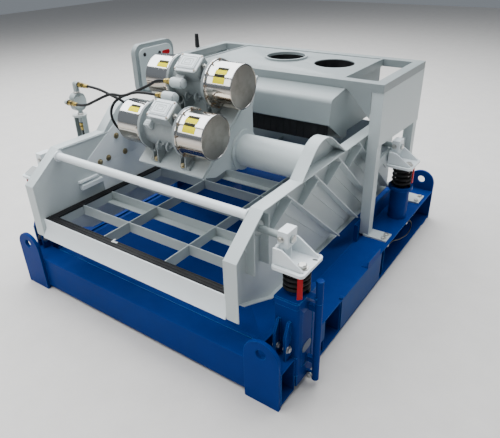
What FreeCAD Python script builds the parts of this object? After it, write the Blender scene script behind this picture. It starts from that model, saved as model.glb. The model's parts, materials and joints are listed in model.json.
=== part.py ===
import FreeCAD, Part
import math
import os

V = FreeCAD.Vector

# Linear vibrating screen on a lifting skid. Millimetres, +X right, +Y to the rear, +Z up.
# Everything is drawn with the front lug face at Y = 0 and moved at the end, so that the origin
# is the middle of the ground footprint.

# Skid
SKID_LENGTH = 2080.0
RAIL_MARGIN = 265.0
LUG_THICKNESS = 20.0
LUG_WIDTH = 180.0
LUG_ARC_HEIGHT = 265.0
LUG_HOLE_HEIGHT = 290.0
LUG_HOLE_RADIUS = 25.0
BEAM_DEPTH = 116.0
BEAM_BOTTOM = 16.0
BEAM_TOP = 206.0
BEAM_WALL = 8.0
RAIL_TOP = 217.0
RAIL_BOTTOM = 12.0
RAIL_FLANGE = 168.0
RAIL_WALL = 8.0
FOOT_LENGTH = 60.0
POCKET_FRONT = 430.0
POCKET_LENGTH = 167.0
COVER_END = 1130.0
STIFFENER_Y = 1182.0
STIFFENER_THICKNESS = 12.0
COVER_THICKNESS = 6.0
ANGLE_START = 925.0
ANGLE_LENGTH = 173.0
ANGLE_WIDTH = 40.0
ANGLE_HEIGHT = 40.0

# Mud pan
PAN_WALL = 8.0
PAN_FLOOR = 30.0
PAN_FLOOR_HALF = 430.0
PAN_FLOOR_FRONT = 480.0
PAN_FLOOR_END = 480.0
PAN_OUTLET_FRONT = 1260.0
PAN_OUTLET_LENGTH = 240.0
PAN_OUTLET_WIDTH = 400.0
SPLASH_GAP = 7.0
SPLASH_THICKNESS = 5.0
SPLASH_FRONT = 1165.0
SPLASH_TOP = 320.0

# Front post sleeves, lifting columns and jacks
POST_INSET = 50.0
POST_WIDTH = 120.0
POST_LENGTH = 170.0
POST_BOTTOM = 100.0
POST_TOP = 499.0
POST_WALL = 10.0
POST_CORNER = 14.0
POST_COLLAR = 28.0
POST_COLLAR_LIP = 4.0
POST_RECESS_EDGE = 40.0
POST_RECESS_DEPTH = 3.0
POST_SKIRT = 60.0
COLUMN_CLEARANCE = 1.0
COLUMN_BOTTOM = 200.0
COLUMN_WALL = 10.0
SEAT_GAP = 0.3
SEAT_THICKNESS = 6.0
EAR_THICKNESS = 12.0
EAR_OFFSETS = (-38.0, 14.0)
EAR_TOP = 400.0
EAR_REACH = 42.0
EAR_NOSE = 14.0
EAR_SHOULDER = 60.0
EAR_BOLT_Z = 262.0
JACK_REACH = 55.0
JACK_OFFSET = 8.0
CLAMP_HALF = 10.0
CLAMP_HEIGHT = 30.0
JACK_RADIUS = 16.5
JACK_BOTTOM = 35.0
JACK_JOINT = 471.0
JACK_TOP = 586.0
JACK_ROD_RADIUS = 10.0
JACK_ROD_BOTTOM = 300.0
JACK_BORE_BOTTOM = 150.0
ROD_CLEARANCE = 0.05

# Rear posts
REAR_POST_INSET = 85.0
REAR_POST_RADIUS = 57.5
REAR_POST_WALL = 8.0
REAR_CUP_TOP = 430.0
REAR_CUP_RADIUS = 75.0
REAR_CUP_THICKNESS = 12.0
CUP_LIP = 10.0

# Springs and spring brackets
SPRING_RADIUS = 60.0
WIRE_RADIUS = 9.0
SPRING_TURNS = 4.5
SPRING_STEPS = 10
SPRING_SIDES = 6
FRONT_PIVOT_Y = 222.0
FRONT_PLATE_TOP = 650.0
REAR_PIVOT_OFFSET = 17.0
REAR_PLATE_TOP = 590.0
PLATE_THICKNESS = 14.0
PLATE_WIDTH = 152.0
PLATE_LENGTH = 184.0
PLATE_CORNER = 20.0
PIN_HEIGHT = 95.0
PIN_RADIUS = 16.0
PIN_CLEARANCE = 0.05
PIN_BOSS_RADIUS = 34.0
PIN_BOSS_LENGTH = 30.0
PIN_CAP_RADIUS = 19.0
PIN_CAP_LENGTH = 8.0
BLOCK_WIDTH = 47.0
BLOCK_LENGTH = 75.0
BLOCK_OFFSET = 3.0
BLOCK_BOTTOM = 62.0
BLOCK_TOP = 135.0
BLOCK_BOLT_AF = 18.0
BLOCK_BOLT_HEAD = 9.0
BACK_PLATE_THICKNESS = 10.0
BACK_FRONT = 72.0
BACK_REAR = 68.0
BACK_SHOULDER = 40.0
BACK_TOP_HALF = 50.0
BACK_HEIGHT = 74.0
GUSSET_TOE = 8.0
GUSSET_TOE_INSET = 12.0
SLOT_INSET = 14.0
SLOT_WIDTH = 20.0
SLOT_LENGTH = 12.0
GUSSET_THICKNESS = 8.0
PLATE_BOLT_X = 42.0
PLATE_BOLT_Y = 33.0
PLATE_BOLT_AF = 30.0
PLATE_BOLT_HEAD = 14.0

# Basket
BASKET_HALF = 635.0
SIDE_WALL = 6.0
SIDE_FLANGE = 60.0
BASKET_FRONT = 12.0
BASKET_TOP = 842.0
BASKET_BOTTOM = 300.0
BASKET_END = 220.0
BASKET_CHIN = 405.0
CHIN_Y = 103.0
SOLE_Y = 330.0
SOLE_INSET = 35.0
BEVEL_BOTTOM = 690.0
BEVEL_TOP_Y = 212.0
HUMP_FRONT = 526.0
HUMP_REAR = 985.0
HUMP_RADIUS = 150.0
RIB_START = 392.0
RIB_PITCH = 251.0
RIB_COUNT = 5
RIB_SLOPE = -0.862
RIB_THICKNESS = 6.0
RIB_FOOT = 60.0
TAPER_START = 40.0
TAPER_RUN = 96.0
TAPER_DROP = 118.0
UPRIGHT_REACH = 44.0
UPRIGHT_BOTTOM = 540.0
UPRIGHT_OFFSETS = (-62.0, 50.0)
BACK_TOP = 720.0
TIE_Y = 202.0
TIE_Z = 804.0
TIE_RADIUS = 21.0
TIE_COLLAR = 30.0
TORQUE_Y = 740.0
TORQUE_Z = 835.0
TORQUE_RADIUS = 85.0
TORQUE_WALL = 8.0
WEAR_THICKNESS = 5.0
WEAR_TOP = 665.0
WEAR_FRONT = 460.0
DOUBLER_FRONT = 367.0
DOUBLER_REAR = 245.0
DOUBLER_CHIN = 716.0
DOUBLER_TOP_HALF = 130.0
DOUBLER_RISE = 37.0
DOUBLER_CORNER = 20.0
DOUBLER_BOLTS = ((-132.0, -39.0), (-214.0, -152.0), (-280.0, -158.0), (-83.0, -154.0), (132.0, -39.0),
                 (214.0, -152.0))
WEDGE_FRONT = 286.0
WEDGE_LENGTH = 144.0
WEDGE_BOTTOM = 604.0
WEDGE_HEIGHT = 14.0
WEDGE_REACH = 18.0
LEDGE_BAR_FRONT = 292.0
LEDGE_BAR_LENGTH = 166.0
LEDGE_BAR_BOTTOM = 566.0
LEDGE_BAR_HEIGHT = 26.0
LEDGE_BAR_REACH = 25.0

# Deck
SEAL_TOP = 495.0
SEAL_THICKNESS = 12.0
SEAL_SIDE = 45.0
SEAL_FRONT_Y = 38.0
SEAL_FRONT_WIDTH = 50.0
LEDGE_THICKNESS = 8.0
BAR_TOP = 490.0
BAR_DEPTH = 60.0
BAR_THICKNESS = 6.0
LONG_BAR_X = 212.0
CROSS_START = 264.0
CROSS_PITCH = 213.0
SHELF_EVERY = 3
SHELF_WIDTH = 42.0
LIP_TOP_Y = 38.0
LIP_DROP = 440.0
LIP_NOSE_Y = 8.0
LIP_NOSE_Z = 388.0
LIP_THICKNESS = 6.0

# Vibration motors and saddle
MOTOR_Y = 452.0
MOTOR_Z = 997.0
MOTOR_SPACING = 296.0
SADDLE_ANGLE = 38.5
MOTOR_HALF = 275.0
COVER_RADIUS = 110.0
COVER_WALL = 2.0
COVER_EDGE = 6.0
COVER_FRONT = 120.0
FLANGE_RADIUS = 122.0
FLANGE_INNER = 105.0
STATOR_RADIUS = 93.0
BEARING_RADIUS = 45.0
BEARING_WIDTH = 20.0
SHAFT_RADIUS = 20.0
SHAFT_CLEARANCE = 0.05
BORE_RADIUS = 26.0
WEIGHT_RADIUS = 92.0
WEIGHT_START = 146.0
WEIGHT_WIDTH = 96.0
WEIGHT_CUT = 26.0
BASE_DEPTH = 122.0
FOOT_HALF = 122.0
FOOT_PAD = 25.0
FOOT_X = 100.0
FOOT_WIDTH = 56.0
FOOT_HEIGHT = 18.0
FOOT_RIB = 8.0
FOOT_RIB_GAP = -4.0
FOOT_RIB_S = 111.0
FOOT_RIB_N = -62.0
FOOT_RIB_TOP_S = 86.0
FOOT_RIB_ROOT = 60.0
BOX_X = 22.0
BOX_S = -10.0
BOX_HALF_X = 66.0
BOX_HALF_S = 48.0
BOX_BOTTOM = 76.0
BOX_TOP = 142.0
BOX_WALL = 6.0
LID_THICKNESS = 16.0
LID_LIP = 3.0
CROWN_INSET = 14.0
EYE_HALF = 22.0
EYE_HEIGHT = 30.0
EYE_THICKNESS = 11.0
GLAND_S = -105.0
GLAND_N = 106.0
GLAND_AF = 28.0
GLAND_NECK_AF = 22.0
GLAND_LENGTH = 53.0
BOSS_HALF = 24.0
BOSS_START = -50.0
BOSS_END = 24.0
BRIDGE_HALF = 12.0
SADDLE_HALF = 217.0
SADDLE_PLATE = 12.0
SADDLE_BASE = 16.0
SADDLE_START = -165.0
SADDLE_END = 461.0
TUBE_COLLAR_RADIUS = 108.0
TUBE_COLLAR_LENGTH = 12.0
CHEEK_BACK = 96.0
CHEEK_RISE = 200.0
CHEEK_SIDE = 30.0
CHEEK_DROP = 96.0
CHEEK_BELLY = 60.0
CHEEK_THROAT = 150.0
CHEEK_THROAT_DROP = 63.0
CHEEK_NOSE = 237.0
CHEEK_NOSE_DROP = 73.0

# Feed box
LEG_GAP = 10.0
FEED_FRONT = 1235.0
FEED_END = 175.0
FEED_TOP = 1132.0
FRAME_WIDTH = 60.0
FRAME_HEIGHT = 45.0
FRAME_LIP = 12.0
TANK_MARGIN = 125.0
NOSE_OVERHANG = 43.0
TANK_WALL = 5.0
TANK_BOTTOM = 799.0
NOSE_FRONT = 1055.0
NOSE_SHOULDER_Y = 1075.0
NOSE_SHOULDER_Z = 1060.0
NOSE_CHIN = 930.0
NOSE_FOOT_Y = 1244.0
NOSE_TOP = 1087.0
LID_DROP = 6.0
LID_PLATE = 6.0
INLET_RADIUS = 125.0
COLLAR_INLET_X = -55.0
COLLAR_INLET_OFFSET = 55.0
COLLAR_WALL = 14.0
COLLAR_HEIGHT = 12.0
PLAIN_INLET_X = 300.0
PLAIN_INLET_OFFSET = 41.0
LEG_WIDTH = 60.0
PANEL_THICKNESS = 5.0
PANEL_FRONT_Z = 791.0
PANEL_REAR_Z = 762.0
FOOT_PLATE = 10.0
FOOT_PLATE_INSET = 20.0
FOOT_PLATE_START = 30.0
FOOT_PLATE_FRONT = (-8.0, 88.0)
FOOT_PLATE_REAR = (-30.0, 95.0)
STRUT_BOTTOM = 600.0
STRUT_TOP = 654.0
STRUT_THICKNESS = 22.0
CURTAIN_BOTTOM = 830.0
CURTAIN_THICKNESS = 4.0
CURTAIN_BACK = 8.7
CURTAIN_LAP = 30.0
CURTAIN_GAP = 10.0

# Gate lever
GATE_OFFSET = 30.0
GATE_Z = 1010.0
GATE_SHAFT_RADIUS = 10.0
GATE_CLEARANCE = 0.1
GATE_REACH = 26.0
GATE_HUB = 14.0
GATE_HUB_RADIUS = 22.0
GATE_PLATE = 10.0
GATE_ARM_TOP = 1134.0
GATE_GRIP_TOP = 1226.0
TANG_LENGTH = 40.0
TANG_HALF = 5.0
GRIP_HALF = 16.0
GRIP_END_HALF = 12.0
GATE_FLAP_X = -330.0
GATE_FLAP_DROP = 150.0
FLAP_HALF = 4.0

# Control box and conduit, left side
CONTROL_INSET = 78.0
CONTROL_THICKNESS = 50.0
CONTROL_FRONT = 989.0
CONTROL_REAR = 1341.0
CONTROL_BOTTOM = 919.0
CONTROL_TOP = 1239.0
CONTROL_CORNER = 60.0
CONTROL_LID_INSET = 26.0
CONTROL_LID = 12.0
CONTROL_STRUT = 40.0
CONTROL_STRUT_WALL = 4.0
CONDUIT_INSET = 85.0
CONDUIT_Y = 520.0
CONDUIT_WIDTH = 80.0
CONDUIT_FRONT = -15.0
CONDUIT_BACK = 17.0
CONDUIT_WALL = 5.0
CONDUIT_BASE = 8.0
CAP_TOP = 921.0
CAP_THICKNESS = 8.0
CAP_RADIUS = 42.0
NIPPLE_RADIUS = 13.0
BODY_BOTTOM = 948.0
BODY_TOP = 1048.0
BODY_HALF = 40.0
BODY_CORNER = 30.0
BODY_START = -15.0
BODY_DEPTH = 43.0
ELBOW_X = 23.0
ELBOW_RADIUS = 17.0
ELBOW_Z = 1101.0
BRANCH_Y = 458.0
BRANCH_Z = 1006.0
BRANCH_X = -14.0
FITTING_GAP = 20.0
TOP_GLAND_LENGTH = 81.0
SIDE_GLAND_LENGTH = 76.0
FITTING_AF = 26.0
DROP_X = 18.0
DROP_Y = 512.0
DROP_SLEEVE = 33.0
DROP_RADIUS = 15.0
DROP_GLAND = 50.0
ROOT_GLAND = 16.0

# Cables, earth lead and its lugs
CABLE_RADIUS = 7.5
CABLE_WAVE = 4.0
EARTH_RADIUS = 4.0
EARTH_INSET = 4.0
EARTH_HEIGHT = 203.0
EARTH_START = 1238.0
EARTH_END = 1556.0
EARTH_LUG = 16.0
EARTH_LUG_HALF = 6.0

# Bolts
BOLT_HEAD = 10.0
BOLT_AF = 24.0

BEAM_FRONT = LUG_THICKNESS
BEAM_REAR = BEAM_FRONT + BEAM_DEPTH
HALF_WIDTH = BASKET_HALF + RAIL_MARGIN
RAIL_END = SKID_LENGTH - LUG_THICKNESS
REAR_BEAM_FRONT = RAIL_END - BEAM_DEPTH
WEB_OUTER = HALF_WIDTH - RAIL_FLANGE + RAIL_WALL
WEB_INNER = HALF_WIDTH - RAIL_FLANGE
PAN_FLOOR_REAR = SKID_LENGTH - PAN_FLOOR_END
BASKET_REAR = SKID_LENGTH - BASKET_END
FEED_REAR = SKID_LENGTH - FEED_END
FEED_MIDDLE = (FEED_FRONT + FEED_REAR) / 2
REAR_PIVOT_Y = FEED_MIDDLE + REAR_PIVOT_OFFSET
COLLAR_INLET_Y = FEED_MIDDLE + COLLAR_INLET_OFFSET
PLAIN_INLET_Y = FEED_MIDDLE + PLAIN_INLET_OFFSET
GATE_Y = FEED_MIDDLE + GATE_OFFSET
POST_X = HALF_WIDTH - POST_INSET
REAR_POST_X = HALF_WIDTH - REAR_POST_INSET
JACK_X = HALF_WIDTH + JACK_REACH
JACK_Y = FRONT_PIVOT_Y + JACK_OFFSET
POST_REAR = BEAM_REAR + POST_LENGTH
SEAT_BOTTOM = POST_TOP + SEAT_GAP
SEAT_TOP = SEAT_BOTTOM + SEAT_THICKNESS
FLANGE_EDGE = BASKET_HALF + SIDE_FLANGE
SPLASH_X = FLANGE_EDGE + SPLASH_GAP
FEED_HALF = FLANGE_EDGE + LEG_GAP + LEG_WIDTH + PANEL_THICKNESS
TANK_HALF = BASKET_HALF - TANK_MARGIN
NOSE_HALF = TANK_HALF + NOSE_OVERHANG
FOOT_PLATE_END = HALF_WIDTH - FOOT_PLATE_INSET
GATE_OUTER_X = -FEED_HALF - GATE_REACH
CONTROL_X = -HALF_WIDTH + CONTROL_INSET
CONDUIT_X = -HALF_WIDTH + CONDUIT_INSET
WALL_INNER = BASKET_HALF - SIDE_WALL
SEAL_BOTTOM = SEAL_TOP - SEAL_THICKNESS
LEDGE_BOTTOM = SEAL_BOTTOM - LEDGE_THICKNESS
BAR_BOTTOM = BAR_TOP - BAR_DEPTH
DECK_HALF = WALL_INNER - SEAL_SIDE
DECK_FRONT = SEAL_FRONT_Y + SEAL_FRONT_WIDTH
DECK_REAR = BASKET_REAR - SIDE_WALL
CROSS_COUNT = int((DECK_REAR - CROSS_START) / CROSS_PITCH) + 1
SLOPE = math.radians(SADDLE_ANGLE)


def on_x(x):
    return lambda u, v: V(x, u, v)


def on_y(y):
    return lambda u, v: V(u, y, v)


def on_z(z):
    return lambda u, v: V(u, v, z)


def wire(corners, place):
    """Closed wire through (u, v) corners; a third value rounds that corner."""
    starts = []
    middles = []
    ends = []
    count = len(corners)
    for index, corner in enumerate(corners):
        here = V(corner[0], corner[1], 0)
        radius = corner[2] if len(corner) > 2 else 0.0
        before = corners[index - 1]
        after = corners[(index + 1) % count]
        if radius == 0.0:
            starts.append(here)
            middles.append(None)
            ends.append(here)
            continue
        back = (V(before[0], before[1], 0) - here).normalize()
        ahead = (V(after[0], after[1], 0) - here).normalize()
        half = back.getAngle(ahead) / 2
        reach = radius / math.tan(half)
        bisector = (back + ahead).normalize()
        starts.append(here + back * reach)
        middles.append(here + bisector * (radius / math.sin(half) - radius))
        ends.append(here + ahead * reach)
    edges = []
    for index in range(count):
        if middles[index] is not None:
            arc = Part.Arc(place(starts[index].x, starts[index].y),
                           place(middles[index].x, middles[index].y),
                           place(ends[index].x, ends[index].y))
            edges.append(arc.toShape())
        following = starts[(index + 1) % count]
        if (following - ends[index]).Length > 1e-6:
            edges.append(Part.makeLine(place(ends[index].x, ends[index].y),
                                       place(following.x, following.y)))
    return Part.Wire(edges)


def prism_x(corners, x0, x1):
    return Part.Face(wire(corners, on_x(x0))).extrude(V(x1 - x0, 0, 0))


def prism_y(corners, y0, y1):
    return Part.Face(wire(corners, on_y(y0))).extrude(V(0, y1 - y0, 0))


def prism_z(corners, z0, z1):
    return Part.Face(wire(corners, on_z(z0))).extrude(V(0, 0, z1 - z0))


def block(x0, x1, y0, y1, z0, z1):
    corner = V(min(x0, x1), min(y0, y1), min(z0, z1))
    return Part.makeBox(abs(x1 - x0), abs(y1 - y0), abs(z1 - z0), corner)


def rod_x(x0, x1, y, z, radius):
    return Part.makeCylinder(radius, abs(x1 - x0), V(min(x0, x1), y, z), V(1, 0, 0))


def rod_y(y0, y1, x, z, radius):
    return Part.makeCylinder(radius, y1 - y0, V(x, y0, z), V(0, 1, 0))


def rod_z(z0, z1, x, y, radius):
    return Part.makeCylinder(radius, z1 - z0, V(x, y, z0), V(0, 0, 1))


def frame_of(x0, x1, y0, y1, radius=0.0):
    return [(x0, y0, radius), (x1, y0, radius), (x1, y1, radius), (x0, y1, radius)]


def octagon(half_u, half_v, cut):
    """Corners of a centred rectangle with its corners cut off."""
    return [(-half_u + cut, -half_v), (half_u - cut, -half_v), (half_u, -half_v + cut), (half_u, half_v - cut),
            (half_u - cut, half_v), (-half_u + cut, half_v), (-half_u, half_v - cut), (-half_u, -half_v + cut)]


def hexagon(centre, axis, width, height):
    """Hexagon bolt head of a width across flats, standing on centre along axis."""
    radius = width / math.sqrt(3)
    points = []
    for side in range(7):
        turn = math.radians(60 * side)
        points.append(V(radius * math.cos(turn), radius * math.sin(turn), 0))
    head = Part.Face(Part.makePolygon(points)).extrude(V(0, 0, height))
    head.Placement = FreeCAD.Placement(centre, FreeCAD.Rotation(V(0, 0, 1), axis))
    return head


def mirrored(shape):
    return shape.mirror(V(0, 0, 0), V(1, 0, 0))


def both_sides(shapes):
    return shapes + [mirrored(shape) for shape in shapes]


def fuse(shapes):
    whole = shapes[0].multiFuse(shapes[1:]) if len(shapes) > 1 else shapes[0]
    return whole.removeSplitter()


def strip(points, thickness):
    """Corners of a strip that follows an open (u, v) line on its left side."""
    count = len(points)
    offset = []
    for index in range(count):
        normals = []
        if index > 0:
            step = V(points[index][0] - points[index - 1][0],
                     points[index][1] - points[index - 1][1], 0).normalize()
            normals.append(V(-step.y, step.x, 0))
        if index < count - 1:
            step = V(points[index + 1][0] - points[index][0],
                     points[index + 1][1] - points[index][1], 0).normalize()
            normals.append(V(-step.y, step.x, 0))
        if len(normals) == 2:
            bisector = (normals[0] + normals[1]).normalize()
            move = bisector * (thickness / bisector.dot(normals[0]))
        else:
            move = normals[0] * thickness
        offset.append((points[index][0] + move.x, points[index][1] + move.y))
    return list(points) + offset[::-1]


def save(node, shapes):
    """Write one node; shapes is a list of its solids."""
    whole = Part.makeCompound(shapes) if len(shapes) > 1 else shapes[0]
    whole = whole.copy()
    whole.translate(V(0, -SKID_LENGTH / 2, 0))
    whole.exportStep("parts/" + node + ".step")


def lug(y0):
    middle = HALF_WIDTH - LUG_WIDTH / 2
    half = LUG_WIDTH / 2
    plate = block(middle - half, middle + half, y0, y0 + LUG_THICKNESS, 0, LUG_ARC_HEIGHT)
    crown = rod_y(y0, y0 + LUG_THICKNESS, middle, LUG_ARC_HEIGHT, half)
    hole = rod_y(y0 - 1, y0 + LUG_THICKNESS + 1, middle, LUG_HOLE_HEIGHT, LUG_HOLE_RADIUS)
    return fuse([plate, crown]).cut(hole)


def lifting_lugs():
    return both_sides([lug(0.0), lug(RAIL_END)])


def beam(y0, half):
    outer = frame_of(y0, y0 + BEAM_DEPTH, BEAM_BOTTOM, BEAM_TOP)
    inner = frame_of(y0 + BEAM_WALL, y0 + BEAM_DEPTH - BEAM_WALL,
                     BEAM_BOTTOM + BEAM_WALL, BEAM_TOP - BEAM_WALL)
    return prism_x(outer, -half, half).cut(prism_x(inner, -half - 1, half + 1))


def rail():
    """Right rail: a channel open outward, with pocket jambs, a stiffener, a top angle and feet."""
    x_in = WEB_INNER
    x_web = WEB_OUTER
    top_in = RAIL_TOP - RAIL_WALL
    floor = RAIL_BOTTOM + RAIL_WALL
    channel = [(x_in, RAIL_BOTTOM), (HALF_WIDTH, RAIL_BOTTOM), (HALF_WIDTH, floor),
               (x_web, floor), (x_web, top_in), (HALF_WIDTH, top_in), (HALF_WIDTH, RAIL_TOP),
               (x_in, RAIL_TOP)]
    pieces = [prism_y(channel, POST_REAR, RAIL_END)]
    pieces.append(block(x_in, x_web, BEAM_REAR, POST_REAR, RAIL_BOTTOM, RAIL_TOP))
    pocket_end = POCKET_FRONT + POCKET_LENGTH
    reach = HALF_WIDTH - COVER_THICKNESS
    for y0, y1 in ((POCKET_FRONT - RAIL_WALL, POCKET_FRONT), (pocket_end, pocket_end + RAIL_WALL),
                   (STIFFENER_Y, STIFFENER_Y + STIFFENER_THICKNESS)):
        pieces.append(block(x_web - 1, reach, y0, y1, floor - 1, top_in + 1))
    angle = [(HALF_WIDTH - ANGLE_WIDTH, RAIL_TOP - 1), (HALF_WIDTH, RAIL_TOP - 1),
             (HALF_WIDTH, RAIL_TOP + ANGLE_HEIGHT), (HALF_WIDTH - COVER_THICKNESS, RAIL_TOP + ANGLE_HEIGHT),
             (HALF_WIDTH - COVER_THICKNESS, RAIL_TOP + COVER_THICKNESS),
             (HALF_WIDTH - ANGLE_WIDTH, RAIL_TOP + COVER_THICKNESS)]
    pieces.append(prism_y(angle, ANGLE_START, ANGLE_START + ANGLE_LENGTH))
    for y0 in (POST_REAR + RAIL_WALL, RAIL_END - 2 * FOOT_LENGTH):
        pieces.append(block(HALF_WIDTH - FOOT_LENGTH, HALF_WIDTH, y0, y0 + FOOT_LENGTH, 0,
                            RAIL_BOTTOM + 1))
    return fuse(pieces)


def rail_panels():
    y0 = POCKET_FRONT + POCKET_LENGTH + RAIL_WALL
    panel = block(HALF_WIDTH - COVER_THICKNESS, HALF_WIDTH, y0, COVER_END, RAIL_BOTTOM + RAIL_WALL,
                  RAIL_TOP - RAIL_WALL)
    front = block(HALF_WIDTH - COVER_THICKNESS, HALF_WIDTH, POST_REAR,
                  POCKET_FRONT - RAIL_WALL, POST_BOTTOM, RAIL_TOP - RAIL_WALL)
    return both_sides([panel, front])


def hopper(inset, floor, rim):
    """Solid between the pan's floor and its rim, pulled in by inset."""
    half = WEB_INNER - inset
    low = PAN_FLOOR_HALF - inset
    across = [(-low, floor), (low, floor), (half, rim), (-half, rim)]
    along = [(PAN_FLOOR_FRONT + inset, floor), (PAN_FLOOR_REAR - inset, floor),
             (REAR_BEAM_FRONT - inset, rim), (BEAM_REAR + inset, rim)]
    return prism_y(across, 0, SKID_LENGTH).common(prism_x(along, -HALF_WIDTH, HALF_WIDTH))


def mud_pan():
    pan = hopper(0.0, PAN_FLOOR, BEAM_TOP)
    slope = (WEB_INNER - PAN_FLOOR_HALF) / (BEAM_TOP - PAN_FLOOR)
    pan = pan.cut(hopper(PAN_WALL * math.sqrt(1 + 1 / slope ** 2), PAN_FLOOR + PAN_WALL, BEAM_TOP + PAN_WALL))
    outlet = block(-PAN_OUTLET_WIDTH / 2, PAN_OUTLET_WIDTH / 2, PAN_OUTLET_FRONT,
                   PAN_OUTLET_FRONT + PAN_OUTLET_LENGTH, 0, PAN_FLOOR + 2 * PAN_WALL)
    splash = block(SPLASH_X, SPLASH_X + SPLASH_THICKNESS, SPLASH_FRONT, REAR_BEAM_FRONT,
                   BEAM_TOP - 2 * PAN_WALL, SPLASH_TOP)
    end = block(SPLASH_X, WEB_INNER, SPLASH_FRONT - SPLASH_THICKNESS, SPLASH_FRONT,
                BEAM_TOP - PAN_WALL, SPLASH_TOP)
    rim = block(SPLASH_X, WEB_INNER, SPLASH_FRONT, REAR_BEAM_FRONT, BEAM_TOP - PAN_WALL, BEAM_TOP)
    return fuse([pan.cut(outlet), splash, mirrored(splash), end, mirrored(end), rim, mirrored(rim)])


def front_post():
    """Right front sleeve with its two ears and the seam plate on its outer face."""
    x0 = POST_X - POST_WIDTH / 2
    x1 = POST_X + POST_WIDTH / 2
    outer = frame_of(x0, x1, BEAM_REAR, POST_REAR, POST_CORNER)
    inner = frame_of(x0 + POST_WALL, x1 - POST_WALL, BEAM_REAR + POST_WALL, POST_REAR - POST_WALL)
    sleeve = prism_z(outer, POST_BOTTOM, POST_TOP)
    lip = POST_COLLAR_LIP
    collar = prism_z(frame_of(x0 - lip, x1, BEAM_REAR - lip, POST_REAR + lip, POST_CORNER),
                     POST_TOP - POST_COLLAR, POST_TOP)
    ears = []
    profile = [(BEAM_REAR + 1, BEAM_TOP), (BEAM_REAR - EAR_REACH, BEAM_TOP),
               (BEAM_REAR - EAR_REACH, EAR_TOP - EAR_SHOULDER, EAR_NOSE), (BEAM_REAR - EAR_NOSE, EAR_TOP),
               (BEAM_REAR + 1, EAR_TOP)]
    for offset in EAR_OFFSETS:
        ears.append(prism_x(profile, POST_X + offset, POST_X + offset + EAR_THICKNESS))
    edge = POST_RECESS_EDGE
    inset = prism_x(frame_of(BEAM_REAR + edge, POST_REAR - edge, POST_BOTTOM + edge / 2,
                             POST_TOP - POST_COLLAR - edge, POST_CORNER), x1 - POST_RECESS_DEPTH, x1 + 1)
    skirt = block(x0 + POST_WALL, x1, BEAM_REAR, POST_REAR, POST_BOTTOM - POST_SKIRT, POST_BOTTOM)
    skirt = skirt.cut(block(x0, x1 - POST_WALL, BEAM_REAR - 1, POST_REAR + 1, 0, POST_BOTTOM))
    post = fuse([sleeve, collar] + ears).cut(inset)
    post = fuse([post, skirt])
    return post.cut(prism_z(inner, POST_BOTTOM - 1, POST_TOP + 1))


def lift_column():
    """Right column: a square tube in the sleeve, its spring seat and the arm to the jack rod."""
    x0 = POST_X - POST_WIDTH / 2 + POST_WALL + COLUMN_CLEARANCE
    x1 = POST_X + POST_WIDTH / 2 - POST_WALL - COLUMN_CLEARANCE
    y0 = BEAM_REAR + POST_WALL + COLUMN_CLEARANCE
    y1 = POST_REAR - POST_WALL - COLUMN_CLEARANCE
    tube = prism_z(frame_of(x0, x1, y0, y1), COLUMN_BOTTOM, SEAT_BOTTOM)
    tube = tube.cut(prism_z(frame_of(x0 + COLUMN_WALL, x1 - COLUMN_WALL, y0 + COLUMN_WALL,
                                     y1 - COLUMN_WALL), COLUMN_BOTTOM - 1, SEAT_BOTTOM + 1))
    edge = POST_WIDTH / 2
    seat = prism_z(frame_of(POST_X - edge, POST_X + edge, BEAM_REAR, POST_REAR, POST_CORNER),
                   SEAT_BOTTOM, SEAT_TOP)
    arm = block(POST_X + edge - 1, JACK_X, FRONT_PIVOT_Y - JACK_RADIUS, FRONT_PIVOT_Y + JACK_RADIUS,
                SEAT_BOTTOM, SEAT_TOP)
    arm = arm.cut(rod_z(SEAT_BOTTOM - 1, SEAT_TOP + 1, JACK_X, JACK_Y, JACK_RADIUS))
    ring = rod_z(SEAT_TOP - 1, SEAT_TOP + CUP_LIP, POST_X, FRONT_PIVOT_Y, SPRING_RADIUS - 2 * WIRE_RADIUS - 2)
    return fuse([tube, seat, arm, ring])


def jack_body():
    """Right jack barrel with its two clamps on the sleeve and the foot lug."""
    post_face = POST_X + POST_WIDTH / 2
    pieces = [rod_z(JACK_BOTTOM, JACK_JOINT, JACK_X, JACK_Y, JACK_RADIUS)]
    for z0 in (JACK_JOINT - JACK_RADIUS - CLAMP_HEIGHT, POST_BOTTOM + CLAMP_HEIGHT):
        pieces.append(block(post_face, JACK_X, JACK_Y - CLAMP_HALF, JACK_Y + CLAMP_HALF, z0, z0 + CLAMP_HEIGHT))
    pieces.append(block(post_face, JACK_X, JACK_Y - CLAMP_HALF / 2, JACK_Y + CLAMP_HALF / 2,
                        POST_BOTTOM - POST_SKIRT, POST_BOTTOM - POST_SKIRT / 2))
    bore = rod_z(JACK_BORE_BOTTOM, JACK_JOINT + 1, JACK_X, JACK_Y, JACK_ROD_RADIUS + ROD_CLEARANCE)
    return fuse(pieces).cut(bore)


def jack_rod():
    bottom = JACK_JOINT + SEAT_GAP
    rod = rod_z(JACK_ROD_BOTTOM, bottom + 1, JACK_X, JACK_Y, JACK_ROD_RADIUS)
    head = rod_z(bottom, JACK_TOP, JACK_X, JACK_Y, JACK_RADIUS)
    return fuse([rod, head])


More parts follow.
